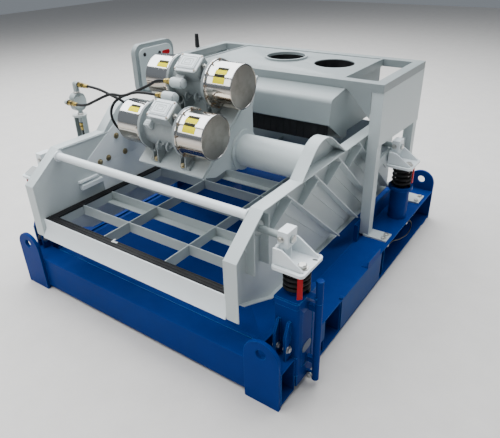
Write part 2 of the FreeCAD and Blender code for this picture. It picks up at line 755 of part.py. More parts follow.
def rear_post():
    post = rod_z(RAIL_TOP, REAR_CUP_TOP - REAR_CUP_THICKNESS, REAR_POST_X, REAR_PIVOT_Y, REAR_POST_RADIUS)
    post = post.cut(rod_z(RAIL_TOP - 1, REAR_CUP_TOP, REAR_POST_X, REAR_PIVOT_Y,
                          REAR_POST_RADIUS - REAR_POST_WALL))
    cup = rod_z(REAR_CUP_TOP - REAR_CUP_THICKNESS, REAR_CUP_TOP, REAR_POST_X, REAR_PIVOT_Y, REAR_CUP_RADIUS)
    lip = rod_z(REAR_CUP_TOP, REAR_CUP_TOP + CUP_LIP, REAR_POST_X, REAR_PIVOT_Y, REAR_CUP_RADIUS)
    lip = lip.cut(rod_z(REAR_CUP_TOP - 1, REAR_CUP_TOP + CUP_LIP + 1, REAR_POST_X, REAR_PIVOT_Y,
                        SPRING_RADIUS + 3))
    return fuse([post, cup, lip])


def spring(x, y, bottom, top):
    """Coil spring as a closed surface of small flats around its helix."""
    steps = int(SPRING_TURNS * SPRING_STEPS)
    coil = SPRING_RADIUS - WIRE_RADIUS
    rings = []
    for step in range(steps + 1):
        turn = 2 * math.pi * step / SPRING_STEPS
        out = V(math.cos(turn), math.sin(turn), 0)
        height = bottom + WIRE_RADIUS + (top - bottom - 2 * WIRE_RADIUS) * step / steps
        centre = V(x, y, height) + out * coil
        ring = []
        for side in range(SPRING_SIDES):
            angle = 2 * math.pi * side / SPRING_SIDES + math.pi / 2
            ring.append(centre + out * (WIRE_RADIUS * math.cos(angle)) + V(0, 0, WIRE_RADIUS * math.sin(angle)))
        rings.append(ring)
    faces = []
    for low, high in zip(rings, rings[1:]):
        for side in range(SPRING_SIDES):
            after = (side + 1) % SPRING_SIDES
            for triangle in ((low[side], low[after], high[after]), (low[side], high[after], high[side])):
                faces.append(Part.Face(Part.makePolygon(list(triangle) + [triangle[0]])))
    for ring in (rings[0], rings[-1]):
        faces.append(Part.Face(Part.makePolygon(ring + [ring[0]])))
    solid = Part.Solid(Part.Shell(faces))
    if solid.Volume < 0:
        solid.reverse()
    return solid


def bracket(x, y, top):
    """Spring bracket on the right side: plate, back plate, two gussets and the pin block."""
    inner = x - PLATE_WIDTH / 2
    outer = x + PLATE_WIDTH / 2
    end = y + PLATE_LENGTH / 2
    low = top - PLATE_THICKNESS
    high = top + BACK_HEIGHT
    front = y - BACK_FRONT
    rear = y + BACK_REAR
    plate = prism_z(frame_of(inner, outer, y - PLATE_LENGTH / 2, end, PLATE_CORNER), low, top)
    slot = block(outer - SLOT_INSET - SLOT_WIDTH, outer - SLOT_INSET, end - GUSSET_TOE - SLOT_LENGTH,
                 end - GUSSET_TOE, low - 1, top + 1)
    back = prism_x([(front, top - 1), (rear, top - 1), (rear, top + BACK_SHOULDER), (y + BACK_TOP_HALF, high),
                    (y - BACK_TOP_HALF, high), (front, top + BACK_SHOULDER)], inner,
                   inner + BACK_PLATE_THICKNESS)
    toe = outer - GUSSET_TOE_INSET
    slant = [(inner + 1, top - 1), (toe, top - 1), (toe, top + GUSSET_TOE),
             (inner + BLOCK_WIDTH + GUSSET_TOE, high - GUSSET_TOE), (inner + BLOCK_WIDTH - GUSSET_TOE, high),
             (inner + 1, high)]
    near = prism_y(slant, front, front + GUSSET_THICKNESS)
    far = prism_y(slant, rear - GUSSET_THICKNESS, rear)
    y0 = y + BLOCK_OFFSET - BLOCK_LENGTH / 2
    pin_block = prism_y(frame_of(inner + 1, inner + 1 + BLOCK_WIDTH, top + BLOCK_BOTTOM, top + BLOCK_TOP),
                        y0, y0 + BLOCK_LENGTH)
    web = block(inner + 1, inner + BLOCK_WIDTH, y - GUSSET_THICKNESS / 2, y + GUSSET_THICKNESS / 2, top - 1,
                top + BLOCK_BOTTOM + 1)
    bore = rod_x(inner - 1, inner + BLOCK_WIDTH + 2, y, top + PIN_HEIGHT, PIN_RADIUS + PIN_CLEARANCE)
    return fuse([plate.cut(slot), back, near, far, pin_block, web]).cut(bore)


def bracket_bolts(x, y, top):
    """Large bolt through the spring plate and the grease screw on the pin block's front face."""
    corner = hexagon(V(x + PLATE_BOLT_X, y - PLATE_BOLT_Y, top), V(0, 0, 1), PLATE_BOLT_AF, PLATE_BOLT_HEAD)
    y0 = y + BLOCK_OFFSET - BLOCK_LENGTH / 2
    height = top + (BLOCK_BOTTOM + BLOCK_TOP) / 2
    face = hexagon(V(x - PLATE_WIDTH / 2 + 1 + BLOCK_WIDTH / 2, y0, height), V(0, -1, 0), BLOCK_BOLT_AF,
                   BLOCK_BOLT_HEAD)
    return [corner, face]


def pivot_pin(x, y, top):
    end = x - PLATE_WIDTH / 2 + 1 + BLOCK_WIDTH
    z = top + PIN_HEIGHT
    pin = rod_x(BASKET_HALF, end + SEAT_GAP + 1, y, z, PIN_RADIUS)
    boss = rod_x(BASKET_HALF, BASKET_HALF + PIN_BOSS_LENGTH, y, z, PIN_BOSS_RADIUS)
    cap = rod_x(end + SEAT_GAP, end + PIN_CAP_LENGTH, y, z, PIN_CAP_RADIUS)
    return fuse([pin, boss, cap])


def hump_wire(place, inset):
    """Closed wire of the hump: two tangents to a circle about the torque tube and its base."""
    radius = HUMP_RADIUS - inset
    rise = BASKET_TOP - TORQUE_Z
    points = []
    for foot, side in ((HUMP_FRONT, -1), (HUMP_REAR, 1)):
        run = abs(foot - TORQUE_Y)
        distance = math.hypot(run, rise)
        lift = math.asin(HUMP_RADIUS / distance) + math.atan2(rise, run)
        shift = inset / math.sin(lift - 2 * math.atan2(rise, run)) if inset else 0.0
        base = foot - side * shift
        run = abs(base - TORQUE_Y)
        distance = math.hypot(run, rise)
        turn = math.acos(radius / distance) + math.atan2(rise, run)
        points.append(((base, BASKET_TOP), (TORQUE_Y + side * radius * math.cos(turn),
                                            TORQUE_Z + radius * math.sin(turn))))
    (front_foot, front_touch), (rear_foot, rear_touch) = points
    arc = Part.Arc(place(*front_touch), place(TORQUE_Y, TORQUE_Z + radius), place(*rear_touch))
    return Part.Wire([Part.makeLine(place(*front_foot), place(*front_touch)), arc.toShape(),
                      Part.makeLine(place(*rear_touch), place(*rear_foot)),
                      Part.makeLine(place(*rear_foot), place(*front_foot))])


def side_plate():
    """Right side plate: web with the hump for the torque tube and flanges bent outward."""
    y0 = BASKET_FRONT
    web_points = [(y0, BASKET_CHIN), (y0, BEVEL_BOTTOM), (BEVEL_TOP_Y, BASKET_TOP), (BASKET_REAR, BASKET_TOP),
                  (BASKET_REAR, BASKET_BOTTOM), (SOLE_Y, BASKET_BOTTOM), (CHIN_Y, BASKET_CHIN)]
    web = prism_x(web_points, WALL_INNER, BASKET_HALF)
    hump = Part.Face(hump_wire(on_x(WALL_INNER), 0.0)).extrude(V(SIDE_WALL, 0, 0))
    path = [(BASKET_REAR, BASKET_TOP), (BEVEL_TOP_Y, BASKET_TOP), (y0, BEVEL_BOTTOM), (y0, BASKET_CHIN - 16)]
    flange = prism_x(strip(path, SIDE_WALL), WALL_INNER, FLANGE_EDGE)
    sole = [(CHIN_Y, BASKET_CHIN), (SOLE_Y, BASKET_BOTTOM), (BASKET_REAR, BASKET_BOTTOM)]
    bottom = prism_x(strip(sole, SIDE_WALL), WALL_INNER, FLANGE_EDGE - SOLE_INSET)
    cap = Part.Face(hump_wire(on_x(WALL_INNER), 0.0)).extrude(V(SIDE_WALL + SIDE_FLANGE, 0, 0))
    cap = cap.cut(Part.Face(hump_wire(on_x(WALL_INNER - 1), SIDE_WALL)).extrude(V(SIDE_FLANGE * 2, 0, 0)))
    cap = cap.cut(block(WALL_INNER - 1, FLANGE_EDGE + 1, HUMP_FRONT + 40, HUMP_REAR - 40, BASKET_TOP - 1,
                        BASKET_TOP + 1))
    return fuse([web, hump, flange, bottom, cap])


def side_ribs():
    """Slanted angle ribs, tapered stiffeners and the upright pair by the front pivot, right side."""
    solids = []
    top = BASKET_TOP - SIDE_WALL
    bottom = BASKET_BOTTOM + SIDE_WALL
    rear = BASKET_REAR - 10
    for index in range(RIB_COUNT):
        y0 = RIB_START + RIB_PITCH * index
        y1 = min(y0 + (bottom + 24 - top) / RIB_SLOPE, rear)
        z1 = top + (y1 - y0) * RIB_SLOPE
        line = [(y0, top), (y1, z1)]
        blade = prism_x(strip(line, RIB_THICKNESS), BASKET_HALF, FLANGE_EDGE)
        foot = [(y0, top), (y1, z1), (y1 - RIB_FOOT, z1 - 6), (y0 + 10, top - RIB_FOOT * 1.4)]
        rib = fuse([blade, prism_x(foot, BASKET_HALF, BASKET_HALF + RIB_THICKNESS)])
        rib = rib.common(block(0, FEED_HALF, 0, rear, bottom, top))
        for pivot, plate in ((FRONT_PIVOT_Y, FRONT_PLATE_TOP), (REAR_PIVOT_Y, REAR_PLATE_TOP)):
            rib = rib.cut(rod_x(0, FEED_HALF, pivot, plate + PIN_HEIGHT, PIN_BOSS_RADIUS + 2))
        solids.extend(rib.Solids)
        branch_y = y0 + TAPER_START
        branch_z = top + TAPER_START * RIB_SLOPE - RIB_THICKNESS
        taper = [(branch_y, branch_z), (branch_y - TAPER_RUN, branch_z - TAPER_DROP)]
        stiffener = prism_x(strip(taper, RIB_THICKNESS), BASKET_HALF, FLANGE_EDGE)
        low = branch_z - TAPER_DROP - 2 * RIB_THICKNESS
        wedge = prism_y([(BASKET_HALF + RIB_FOOT / 3, low), (FLANGE_EDGE + 1, low),
                         (FLANGE_EDGE + 1, branch_z - RIB_THICKNESS)], branch_y - 2 * TAPER_RUN, branch_y + TAPER_RUN)
        stiffener = stiffener.cut(wedge)
        stiffener = stiffener.cut(prism_x([(y0, top), (y1, z1), (y1, top)], 0, FEED_HALF))
        stiffener = stiffener.cut(prism_x(foot, 0, BASKET_HALF + RIB_THICKNESS))
        solids.extend(stiffener.Solids)
    for offset in UPRIGHT_OFFSETS:
        y0 = FRONT_PIVOT_Y + offset
        solids.append(block(BASKET_HALF, BASKET_HALF + UPRIGHT_REACH, y0, y0 + RIB_THICKNESS, UPRIGHT_BOTTOM,
                            top - UPRIGHT_REACH))
    return solids


def tube_between(half, y, z, radius, wall):
    return rod_x(-half, half, y, z, radius).cut(rod_x(-half - 1, half + 1, y, z, radius - wall))


def front_tube():
    pieces = [rod_x(-WALL_INNER, WALL_INNER, TIE_Y, TIE_Z, TIE_RADIUS)]
    for side in (-1, 1):
        pieces.append(rod_x(side * (WALL_INNER - 10), side * WALL_INNER, TIE_Y, TIE_Z, TIE_COLLAR))
    return fuse(pieces)


def saddle_point(s, n):
    """Point at s along the saddle slope and n above it, from the front motor's centre."""
    return (MOTOR_Y + s * math.cos(SLOPE) - n * math.sin(SLOPE),
            MOTOR_Z + s * math.sin(SLOPE) + n * math.cos(SLOPE))


def motor_saddle():
    """Sloping base plate on two cheeks that clamp round the torque tube, with a cross web."""
    base = [saddle_point(SADDLE_START, -BASE_DEPTH), saddle_point(SADDLE_END, -BASE_DEPTH),
            saddle_point(SADDLE_END, -BASE_DEPTH - SADDLE_BASE), saddle_point(SADDLE_START, -BASE_DEPTH - SADDLE_BASE)]
    pieces = [prism_x(base, -SADDLE_HALF, SADDLE_HALF)]
    front = saddle_point(SADDLE_START, -BASE_DEPTH - 1)
    back = saddle_point(SADDLE_END, -BASE_DEPTH - 1)
    rear_y = TORQUE_Y + CHEEK_BACK
    low = TORQUE_Z - CHEEK_DROP
    cheek = [front, back, (rear_y, TORQUE_Z + CHEEK_RISE), (rear_y, TORQUE_Z - CHEEK_SIDE),
             (TORQUE_Y + CHEEK_BELLY, low), (TORQUE_Y - CHEEK_BELLY, low),
             (TORQUE_Y - CHEEK_THROAT, TORQUE_Z - CHEEK_THROAT_DROP),
             (TORQUE_Y - CHEEK_NOSE, TORQUE_Z - CHEEK_NOSE_DROP)]
    inner = SADDLE_HALF - SADDLE_PLATE
    for x0 in (-SADDLE_HALF, inner):
        pieces.append(prism_x(cheek, x0, x0 + SADDLE_PLATE))
    middle = MOTOR_SPACING / 2 - 2 * SADDLE_PLATE
    foot_y = TORQUE_Y - CHEEK_BELLY
    foot_z = TORQUE_Z + TORQUE_RADIUS / 2
    web = prism_x([saddle_point(middle, -BASE_DEPTH - 1), saddle_point(middle + SADDLE_PLATE, -BASE_DEPTH - 1),
                   (foot_y, foot_z), (foot_y - SADDLE_PLATE, foot_z)], -inner - 1, inner + 1)
    pieces.append(web)
    for side in (-1, 1):
        x0 = side * SADDLE_HALF
        x1 = side * (SADDLE_HALF + TUBE_COLLAR_LENGTH)
        pieces.append(rod_x(x0, x1, TORQUE_Y, TORQUE_Z, TUBE_COLLAR_RADIUS))
    bore = rod_x(-SADDLE_HALF - 50, SADDLE_HALF + 50, TORQUE_Y, TORQUE_Z, TORQUE_RADIUS)
    return fuse(pieces).cut(bore)


def deck_grid():
    """Two long bars, cross bars between them, shelves under some cross bars, and the ledge ring."""
    solids = []
    rear = DECK_REAR
    for x in (-LONG_BAR_X, LONG_BAR_X):
        solids.append(block(x - BAR_THICKNESS / 2, x + BAR_THICKNESS / 2, DECK_FRONT, rear, BAR_BOTTOM, BAR_TOP))
    half = BAR_THICKNESS / 2
    spans = [(-DECK_HALF, -LONG_BAR_X - half), (-LONG_BAR_X + half, LONG_BAR_X - half),
             (LONG_BAR_X + half, DECK_HALF)]
    for index in range(CROSS_COUNT):
        y = CROSS_START + CROSS_PITCH * index
        for x0, x1 in spans:
            bar = block(x0, x1, y - half, y + half, BAR_BOTTOM, BAR_TOP)
            if index % SHELF_EVERY == 1:
                bar = bar.fuse(block(x0, x1, y - SHELF_WIDTH, y, BAR_BOTTOM, BAR_BOTTOM + BAR_THICKNESS))
                bar = bar.removeSplitter()
            solids.append(bar)
    for side in (-1, 1):
        ledge = [(side * DECK_HALF, BAR_BOTTOM), (side * (DECK_HALF + BAR_THICKNESS), BAR_BOTTOM),
                 (side * (DECK_HALF + BAR_THICKNESS), LEDGE_BOTTOM), (side * WALL_INNER, LEDGE_BOTTOM),
                 (side * WALL_INNER, SEAL_BOTTOM), (side * DECK_HALF, SEAL_BOTTOM)]
        solids.append(prism_y(ledge, DECK_FRONT, rear))
    front = [(DECK_FRONT, BAR_BOTTOM), (DECK_FRONT, SEAL_BOTTOM), (LIP_TOP_Y, SEAL_BOTTOM),
             (LIP_TOP_Y, LEDGE_BOTTOM), (DECK_FRONT - BAR_THICKNESS, LEDGE_BOTTOM),
             (DECK_FRONT - BAR_THICKNESS, BAR_BOTTOM)]
    solids.append(prism_x(front, -WALL_INNER, WALL_INNER))
    return solids


def deck_seal():
    strips = [block(-WALL_INNER, WALL_INNER, SEAL_FRONT_Y, DECK_FRONT, SEAL_BOTTOM, SEAL_TOP)]
    for side in (-1, 1):
        strips.append(block(side * DECK_HALF, side * WALL_INNER, DECK_FRONT, DECK_REAR, SEAL_BOTTOM, SEAL_TOP))
    return fuse(strips)


def discharge_lip():
    line = [(LIP_TOP_Y, SEAL_TOP), (LIP_TOP_Y, LIP_DROP), (LIP_NOSE_Y, LIP_NOSE_Z)]
    profile = strip(line, -LIP_THICKNESS)
    lip = prism_x(profile, -WALL_INNER, WALL_INNER)
    return lip


def back_plate():
    return block(-WALL_INNER, WALL_INNER, DECK_REAR, BASKET_REAR, BASKET_BOTTOM, BACK_TOP)


def wedge_bar(y0, length, z0, height, reach):
    """Bar on the right wall with slanted ends, as the screen panels' wedges bear on."""
    slant = height / 2
    ends = [(y0, z0), (y0 + length, z0), (y0 + length - slant, z0 + height), (y0 + slant / 2, z0 + height)]
    return prism_x(ends, WALL_INNER - reach, WALL_INNER)


def wear_plates():
    """Inner liner, doubler round the tube and the two wedge bars, right side."""
    inner = WALL_INNER - WEAR_THICKNESS
    liner = block(inner, WALL_INNER, WEAR_FRONT, DECK_REAR, SEAL_TOP, WEAR_TOP)
    front = TORQUE_Y - DOUBLER_FRONT
    rear = TORQUE_Y + DOUBLER_REAR
    crest = TORQUE_Z + DOUBLER_RISE
    doubler = prism_x([(front, WEAR_TOP), (front, DOUBLER_CHIN), (TORQUE_Y - DOUBLER_TOP_HALF, crest, DOUBLER_CORNER),
                       (TORQUE_Y + DOUBLER_TOP_HALF, crest, DOUBLER_CORNER), (rear, DOUBLER_CHIN),
                       (rear, WEAR_TOP)], inner, WALL_INNER)
    doubler = doubler.cut(rod_x(0, WALL_INNER + 1, TORQUE_Y, TORQUE_Z, TORQUE_RADIUS))
    upper = wedge_bar(WEDGE_FRONT, WEDGE_LENGTH, WEDGE_BOTTOM, WEDGE_HEIGHT, WEDGE_REACH)
    lower = wedge_bar(LEDGE_BAR_FRONT, LEDGE_BAR_LENGTH, LEDGE_BAR_BOTTOM, LEDGE_BAR_HEIGHT, LEDGE_BAR_REACH)
    return [liner, doubler, upper, lower]


def basket_bolts():
    """Bolt heads on the doubler and the ribs' feet, right side."""
    inner = WALL_INNER - WEAR_THICKNESS
    heads = []
    for y, z in DOUBLER_BOLTS:
        heads.append(hexagon(V(inner, TORQUE_Y + y, TORQUE_Z + z), V(-1, 0, 0), BOLT_AF, BOLT_HEAD))
    shift = RIB_FOOT - RIB_THICKNESS
    for index in range(RIB_COUNT):
        y = RIB_START + RIB_PITCH * index + shift
        z = BASKET_TOP + shift * RIB_SLOPE - RIB_FOOT * 0.75
        heads.append(hexagon(V(BASKET_HALF + RIB_THICKNESS, y, z), V(1, 0, 0), BOLT_AF, BOLT_HEAD))
    return heads


def placed_motor(shape, index):
    """Move a shape from the motor's own frame to its seat on the saddle."""
    copy = shape.copy()
    copy.rotate(V(0, 0, 0), V(1, 0, 0), SADDLE_ANGLE)
    y, z = saddle_point(MOTOR_SPACING * index, 0.0)
    copy.translate(V(0, y, z))
    return copy


def motor_housing():
    """Stator shell with end shields, bearing seats, four ribbed feet, terminal box base and eye."""
    profile = [(0, STATOR_RADIUS), (FLANGE_INNER, STATOR_RADIUS), (FLANGE_INNER, FLANGE_RADIUS),
               (COVER_FRONT, FLANGE_RADIUS), (COVER_FRONT, BEARING_RADIUS),
               (COVER_FRONT - BEARING_WIDTH, BEARING_RADIUS), (COVER_FRONT - BEARING_WIDTH, BORE_RADIUS),
               (0, BORE_RADIUS)]
    half = Part.Face(wire(profile, lambda u, v: V(u, 0, v))).revolve(V(0, 0, 0), V(1, 0, 0), 360)
    pieces = [half, mirrored(half)]
    for side in (-1, 1):
        x = side * FOOT_X
        for end in (-1, 1):
            near = end * (FOOT_HALF - FOOT_PAD)
            far = end * (FOOT_HALF + FOOT_PAD)
            pieces.append(block(x - FOOT_WIDTH / 2, x + FOOT_WIDTH / 2, near, far, -BASE_DEPTH,
                                -BASE_DEPTH + FOOT_HEIGHT))
            rib = [(far, -BASE_DEPTH + 1), (far, -BASE_DEPTH + FOOT_HEIGHT), (end * FOOT_RIB_S, FOOT_RIB_N),
                   (end * FOOT_RIB_TOP_S, -10), (end * FOOT_RIB_ROOT, -10), (end * FOOT_RIB_ROOT, -BASE_DEPTH + 1)]
            for x0 in (x - side * FOOT_WIDTH / 2, x - side * FOOT_RIB_GAP):
                pieces.append(prism_x(rib, x0, x0 + side * FOOT_RIB))
        pieces.append(block(x - side * FOOT_WIDTH / 2, x - side * 4, FOOT_PAD - FOOT_HALF, FOOT_HALF - FOOT_PAD,
                            -BASE_DEPTH, -STATOR_RADIUS + 20))
    x0 = BOX_X - BOX_HALF_X
    x1 = BOX_X + BOX_HALF_X
    s0 = BOX_S - BOX_HALF_S
    s1 = BOX_S + BOX_HALF_S
    box = prism_z(frame_of(x0, x1, s0, s1), BOX_BOTTOM, BOX_TOP)
    hollow = prism_z(frame_of(x0 + BOX_WALL, x1 - BOX_WALL, s0 + BOX_WALL, s1 - BOX_WALL),
                     STATOR_RADIUS + BOX_WALL, BOX_TOP + 1)
    rim = [(GLAND_S + u, GLAND_N + v) for u, v in octagon(BOSS_HALF, BOSS_HALF, BOSS_HALF * 0.58)]
    boss = prism_x(rim, BOSS_START, BOSS_END)
    bridge = block(BOSS_START + BRIDGE_HALF, BOSS_END - BRIDGE_HALF, GLAND_S, s0 + 1, GLAND_N - BRIDGE_HALF,
                   GLAND_N + BRIDGE_HALF)
    eye_x = x1 + LID_LIP + 1
    eye = prism_x([(-EYE_HALF, STATOR_RADIUS - 8), (EYE_HALF, STATOR_RADIUS - 8),
                   (EYE_HALF / 2, STATOR_RADIUS + EYE_HEIGHT), (-EYE_HALF / 2, STATOR_RADIUS + EYE_HEIGHT)],
                  eye_x, eye_x + EYE_THICKNESS)
    eye = eye.cut(prism_x(frame_of(-EYE_HALF / 3, EYE_HALF / 3, STATOR_RADIUS + EYE_HALF / 4,
                                   STATOR_RADIUS + EYE_HALF), eye_x - 1, eye_x + EYE_THICKNESS + 1))
    body = fuse(pieces + [box, boss, bridge, eye]).cut(hollow)
    bore = rod_x(-COVER_FRONT, COVER_FRONT, 0, 0, BORE_RADIUS)
    return body.cut(bore)


def motor_lid():
    """Terminal box lid with a raised crown, both with cut corners."""
    solids = []
    half_x = BOX_HALF_X + LID_LIP
    half_s = BOX_HALF_S + LID_LIP
    for inset, top in ((0.0, LID_THICKNESS / 2), (CROWN_INSET, LID_THICKNESS)):
        corners = [(BOX_X + u, BOX_S + v) for u, v in octagon(half_x - inset, half_s - inset, 10)]
        solids.append(prism_z(corners, BOX_TOP, BOX_TOP + top))
    return fuse(solids)


def motor_cover():
    """Cup over the weights, with a rolled edge at its closed end and a bolted rim."""
    end = MOTOR_HALF
    inner = COVER_RADIUS - COVER_WALL
    profile = [(COVER_FRONT, COVER_RADIUS), (end - COVER_EDGE, COVER_RADIUS), (end, COVER_RADIUS - COVER_EDGE),
               (end, 0), (end - COVER_WALL, 0), (end - COVER_WALL, inner - COVER_EDGE), (COVER_FRONT, inner)]
    return Part.Face(wire(profile, lambda u, v: V(u, 0, v))).revolve(V(0, 0, 0), V(1, 0, 0), 360)


def motor_bearing():
    start = COVER_FRONT - BEARING_WIDTH
    ring = rod_x(start, COVER_FRONT, 0, 0, BEARING_RADIUS)
    return ring.cut(rod_x(start - 1, COVER_FRONT + 1, 0, 0, SHAFT_RADIUS + SHAFT_CLEARANCE))


def gland():
    """Cable gland screwed into the boss beside the terminal box: wide nut and narrower neck."""
    nut = hexagon(V(BOSS_START, GLAND_S, GLAND_N), V(-1, 0, 0), GLAND_AF, GLAND_LENGTH / 2)
    neck = hexagon(V(BOSS_START, GLAND_S, GLAND_N), V(-1, 0, 0), GLAND_NECK_AF, GLAND_LENGTH)
    return fuse([nut, neck])


def rotor(index):
    """Shaft and the two eccentric weights that hang straight down at its ends."""
    y, z = saddle_point(MOTOR_SPACING * index, 0.0)
    reach = MOTOR_HALF - 14
    solids = [rod_x(-reach, reach, y, z, SHAFT_RADIUS)]
    for side in (-1, 1):
        start = side * WEIGHT_START
        disc = rod_x(start, start + side * WEIGHT_WIDTH, y, z, WEIGHT_RADIUS)
        disc = disc.cut(block(-MOTOR_HALF, MOTOR_HALF, y - WEIGHT_RADIUS, y + WEIGHT_RADIUS, z + WEIGHT_CUT,
                              z + WEIGHT_RADIUS))
        solids.append(disc.cut(rod_x(-MOTOR_HALF, MOTOR_HALF, y, z, SHAFT_RADIUS)))
    return solids


def feed_frame():
    """Top frame of square tubes with the two wells at its ends, and the corner gussets."""
    z0 = FEED_TOP - FRAME_HEIGHT
    outer = prism_z(frame_of(-FEED_HALF, FEED_HALF, FEED_FRONT, FEED_REAR), z0, FEED_TOP)
    middle = prism_z(frame_of(-FEED_HALF + FRAME_WIDTH, FEED_HALF - FRAME_WIDTH, FEED_FRONT + FRAME_WIDTH,
                              FEED_REAR - FRAME_WIDTH), z0 - 1, FEED_TOP + 1)
    ring = outer.cut(middle)
    for side in (-1, 1):
        lip = block(side * TANK_HALF, side * (TANK_HALF + FRAME_LIP), FEED_FRONT + FRAME_WIDTH,
                    FEED_REAR - FRAME_WIDTH, z0, FEED_TOP)
        ring = ring.fuse(lip)
    leg_face = FEED_HALF - FRAME_WIDTH - PANEL_THICKNESS
    gusset = [(NOSE_HALF, z0 + 1), (NOSE_HALF + FRAME_LIP, z0 - TANK_WALL), (leg_face, NOSE_CHIN + LID_DROP),
              (leg_face, z0 + 1)]
    plate = prism_y(gusset, FEED_FRONT, FEED_FRONT + TANK_WALL)
    return fuse([ring, plate, mirrored(plate)])


def feed_tank():
    """Welded tank under the top frame with the nose over the deck, open along its slanted underside."""
    z_top = FEED_TOP - LID_DROP
    under = FEED_TOP - FRAME_HEIGHT
    rear_y = FEED_REAR - FRAME_WIDTH
    front_y = FEED_FRONT + FRAME_WIDTH
    nose = [(front_y, under), (FEED_FRONT, under), (NOSE_SHOULDER_Y, NOSE_SHOULDER_Z, 30),
            (NOSE_FRONT, NOSE_CHIN), (NOSE_FOOT_Y, TANK_BOTTOM), (front_y, TANK_BOTTOM)]
    wall = TANK_WALL
    outside = prism_x(nose, -NOSE_HALF, NOSE_HALF)
    hollow = [(front_y + 1, under - wall), (FEED_FRONT + 2, under - wall),
              (NOSE_SHOULDER_Y + wall, NOSE_SHOULDER_Z - wall + 1, 28), (NOSE_FRONT + wall, NOSE_CHIN - 40),
              (NOSE_FRONT + wall, TANK_BOTTOM - 40), (NOSE_FOOT_Y, TANK_BOTTOM + wall), (front_y + 1, TANK_BOTTOM + wall)]
    hollow = prism_x(hollow, -NOSE_HALF + wall, NOSE_HALF - wall)
    sill = block(-NOSE_HALF, NOSE_HALF, NOSE_FOOT_Y - 14, front_y, TANK_BOTTOM, TANK_BOTTOM + wall)
    nose_shell = fuse([outside.cut(hollow), sill])
    rear = block(-TANK_HALF, TANK_HALF, front_y - wall, rear_y, TANK_BOTTOM, z_top)
    inside = block(-TANK_HALF + wall, TANK_HALF - wall, front_y - wall - 1, rear_y - wall, TANK_BOTTOM + wall,
                   z_top - LID_PLATE)
    neck = block(-TANK_HALF + wall, TANK_HALF - wall, front_y - 20, front_y + 20, TANK_BOTTOM + wall, under - wall)
    brow = block(-TANK_HALF - 1, TANK_HALF + 1, front_y - wall - 1, front_y, under, z_top + 1)
    rear = rear.cut(brow)
    tank = fuse([nose_shell, rear]).cut(inside.cut(block(-NOSE_HALF, NOSE_HALF, front_y - 10, front_y + wall, under - wall, z_top)))
    tank = tank.cut(neck)
    collar = rod_z(z_top - 1, z_top + COLLAR_HEIGHT, COLLAR_INLET_X, COLLAR_INLET_Y, INLET_RADIUS + COLLAR_WALL)
    tank = tank.fuse(collar)
    for x, y in ((COLLAR_INLET_X, COLLAR_INLET_Y), (PLAIN_INLET_X, PLAIN_INLET_Y)):
        tank = tank.cut(rod_z(z_top - LID_PLATE - 1, z_top + COLLAR_HEIGHT + 1, x, y, INLET_RADIUS))
    shaft_hole = rod_x(-TANK_HALF - 1, -TANK_HALF + wall + 1, GATE_Y, GATE_Z, GATE_SHAFT_RADIUS + GATE_CLEARANCE)
    return tank.cut(shaft_hole)


def feed_legs():
    """Four square legs with foot plates, and the strut between the two on each side."""
    solids = []
    x1 = FEED_HALF - PANEL_THICKNESS
    x0 = x1 - LEG_WIDTH
    top = FEED_TOP - FRAME_HEIGHT
    for y0 in (FEED_FRONT + TANK_WALL, FEED_REAR - LEG_WIDTH):
        leg = block(x0, x1, y0, y0 + LEG_WIDTH, RAIL_TOP + FOOT_PLATE - 1, top)
        near, far = FOOT_PLATE_FRONT if y0 < REAR_PIVOT_Y else FOOT_PLATE_REAR
        plate = block(x0 + FOOT_PLATE_START, FOOT_PLATE_END, y0 + near, y0 + far, RAIL_TOP, RAIL_TOP + FOOT_PLATE)
        leg = leg.cut(block(x0 - 1, x0 + 4, y0 - 1, y0 + LEG_WIDTH + 1, 0, SPLASH_TOP + 6))
        solids.append(fuse([leg, plate]))
    strut = block(x0 + 1, x0 + 1 + STRUT_THICKNESS, FEED_FRONT + TANK_WALL + LEG_WIDTH, FEED_REAR - LEG_WIDTH,
                  STRUT_BOTTOM, STRUT_TOP)
    solids.append(strut)
    return both_sides(solids)


def end_panels():
    x0 = FEED_HALF - PANEL_THICKNESS
    top = FEED_TOP - FRAME_HEIGHT
    panel = prism_x([(FEED_FRONT + TANK_WALL, top), (FEED_FRONT + TANK_WALL, PANEL_FRONT_Z),
                     (FEED_REAR, PANEL_REAR_Z), (FEED_REAR, top)], x0, FEED_HALF)
    hole = rod_x(-FEED_HALF - 1, -x0 + 1, GATE_Y, GATE_Z, GATE_SHAFT_RADIUS + GATE_CLEARANCE)
    return [panel, mirrored(panel).cut(hole)]


def feed_curtain():
    y0 = NOSE_FRONT + TANK_WALL + CURTAIN_BACK
    half = NOSE_HALF - CURTAIN_GAP
    return block(-half, half, y0, y0 + CURTAIN_THICKNESS, CURTAIN_BOTTOM, NOSE_CHIN + CURTAIN_LAP)


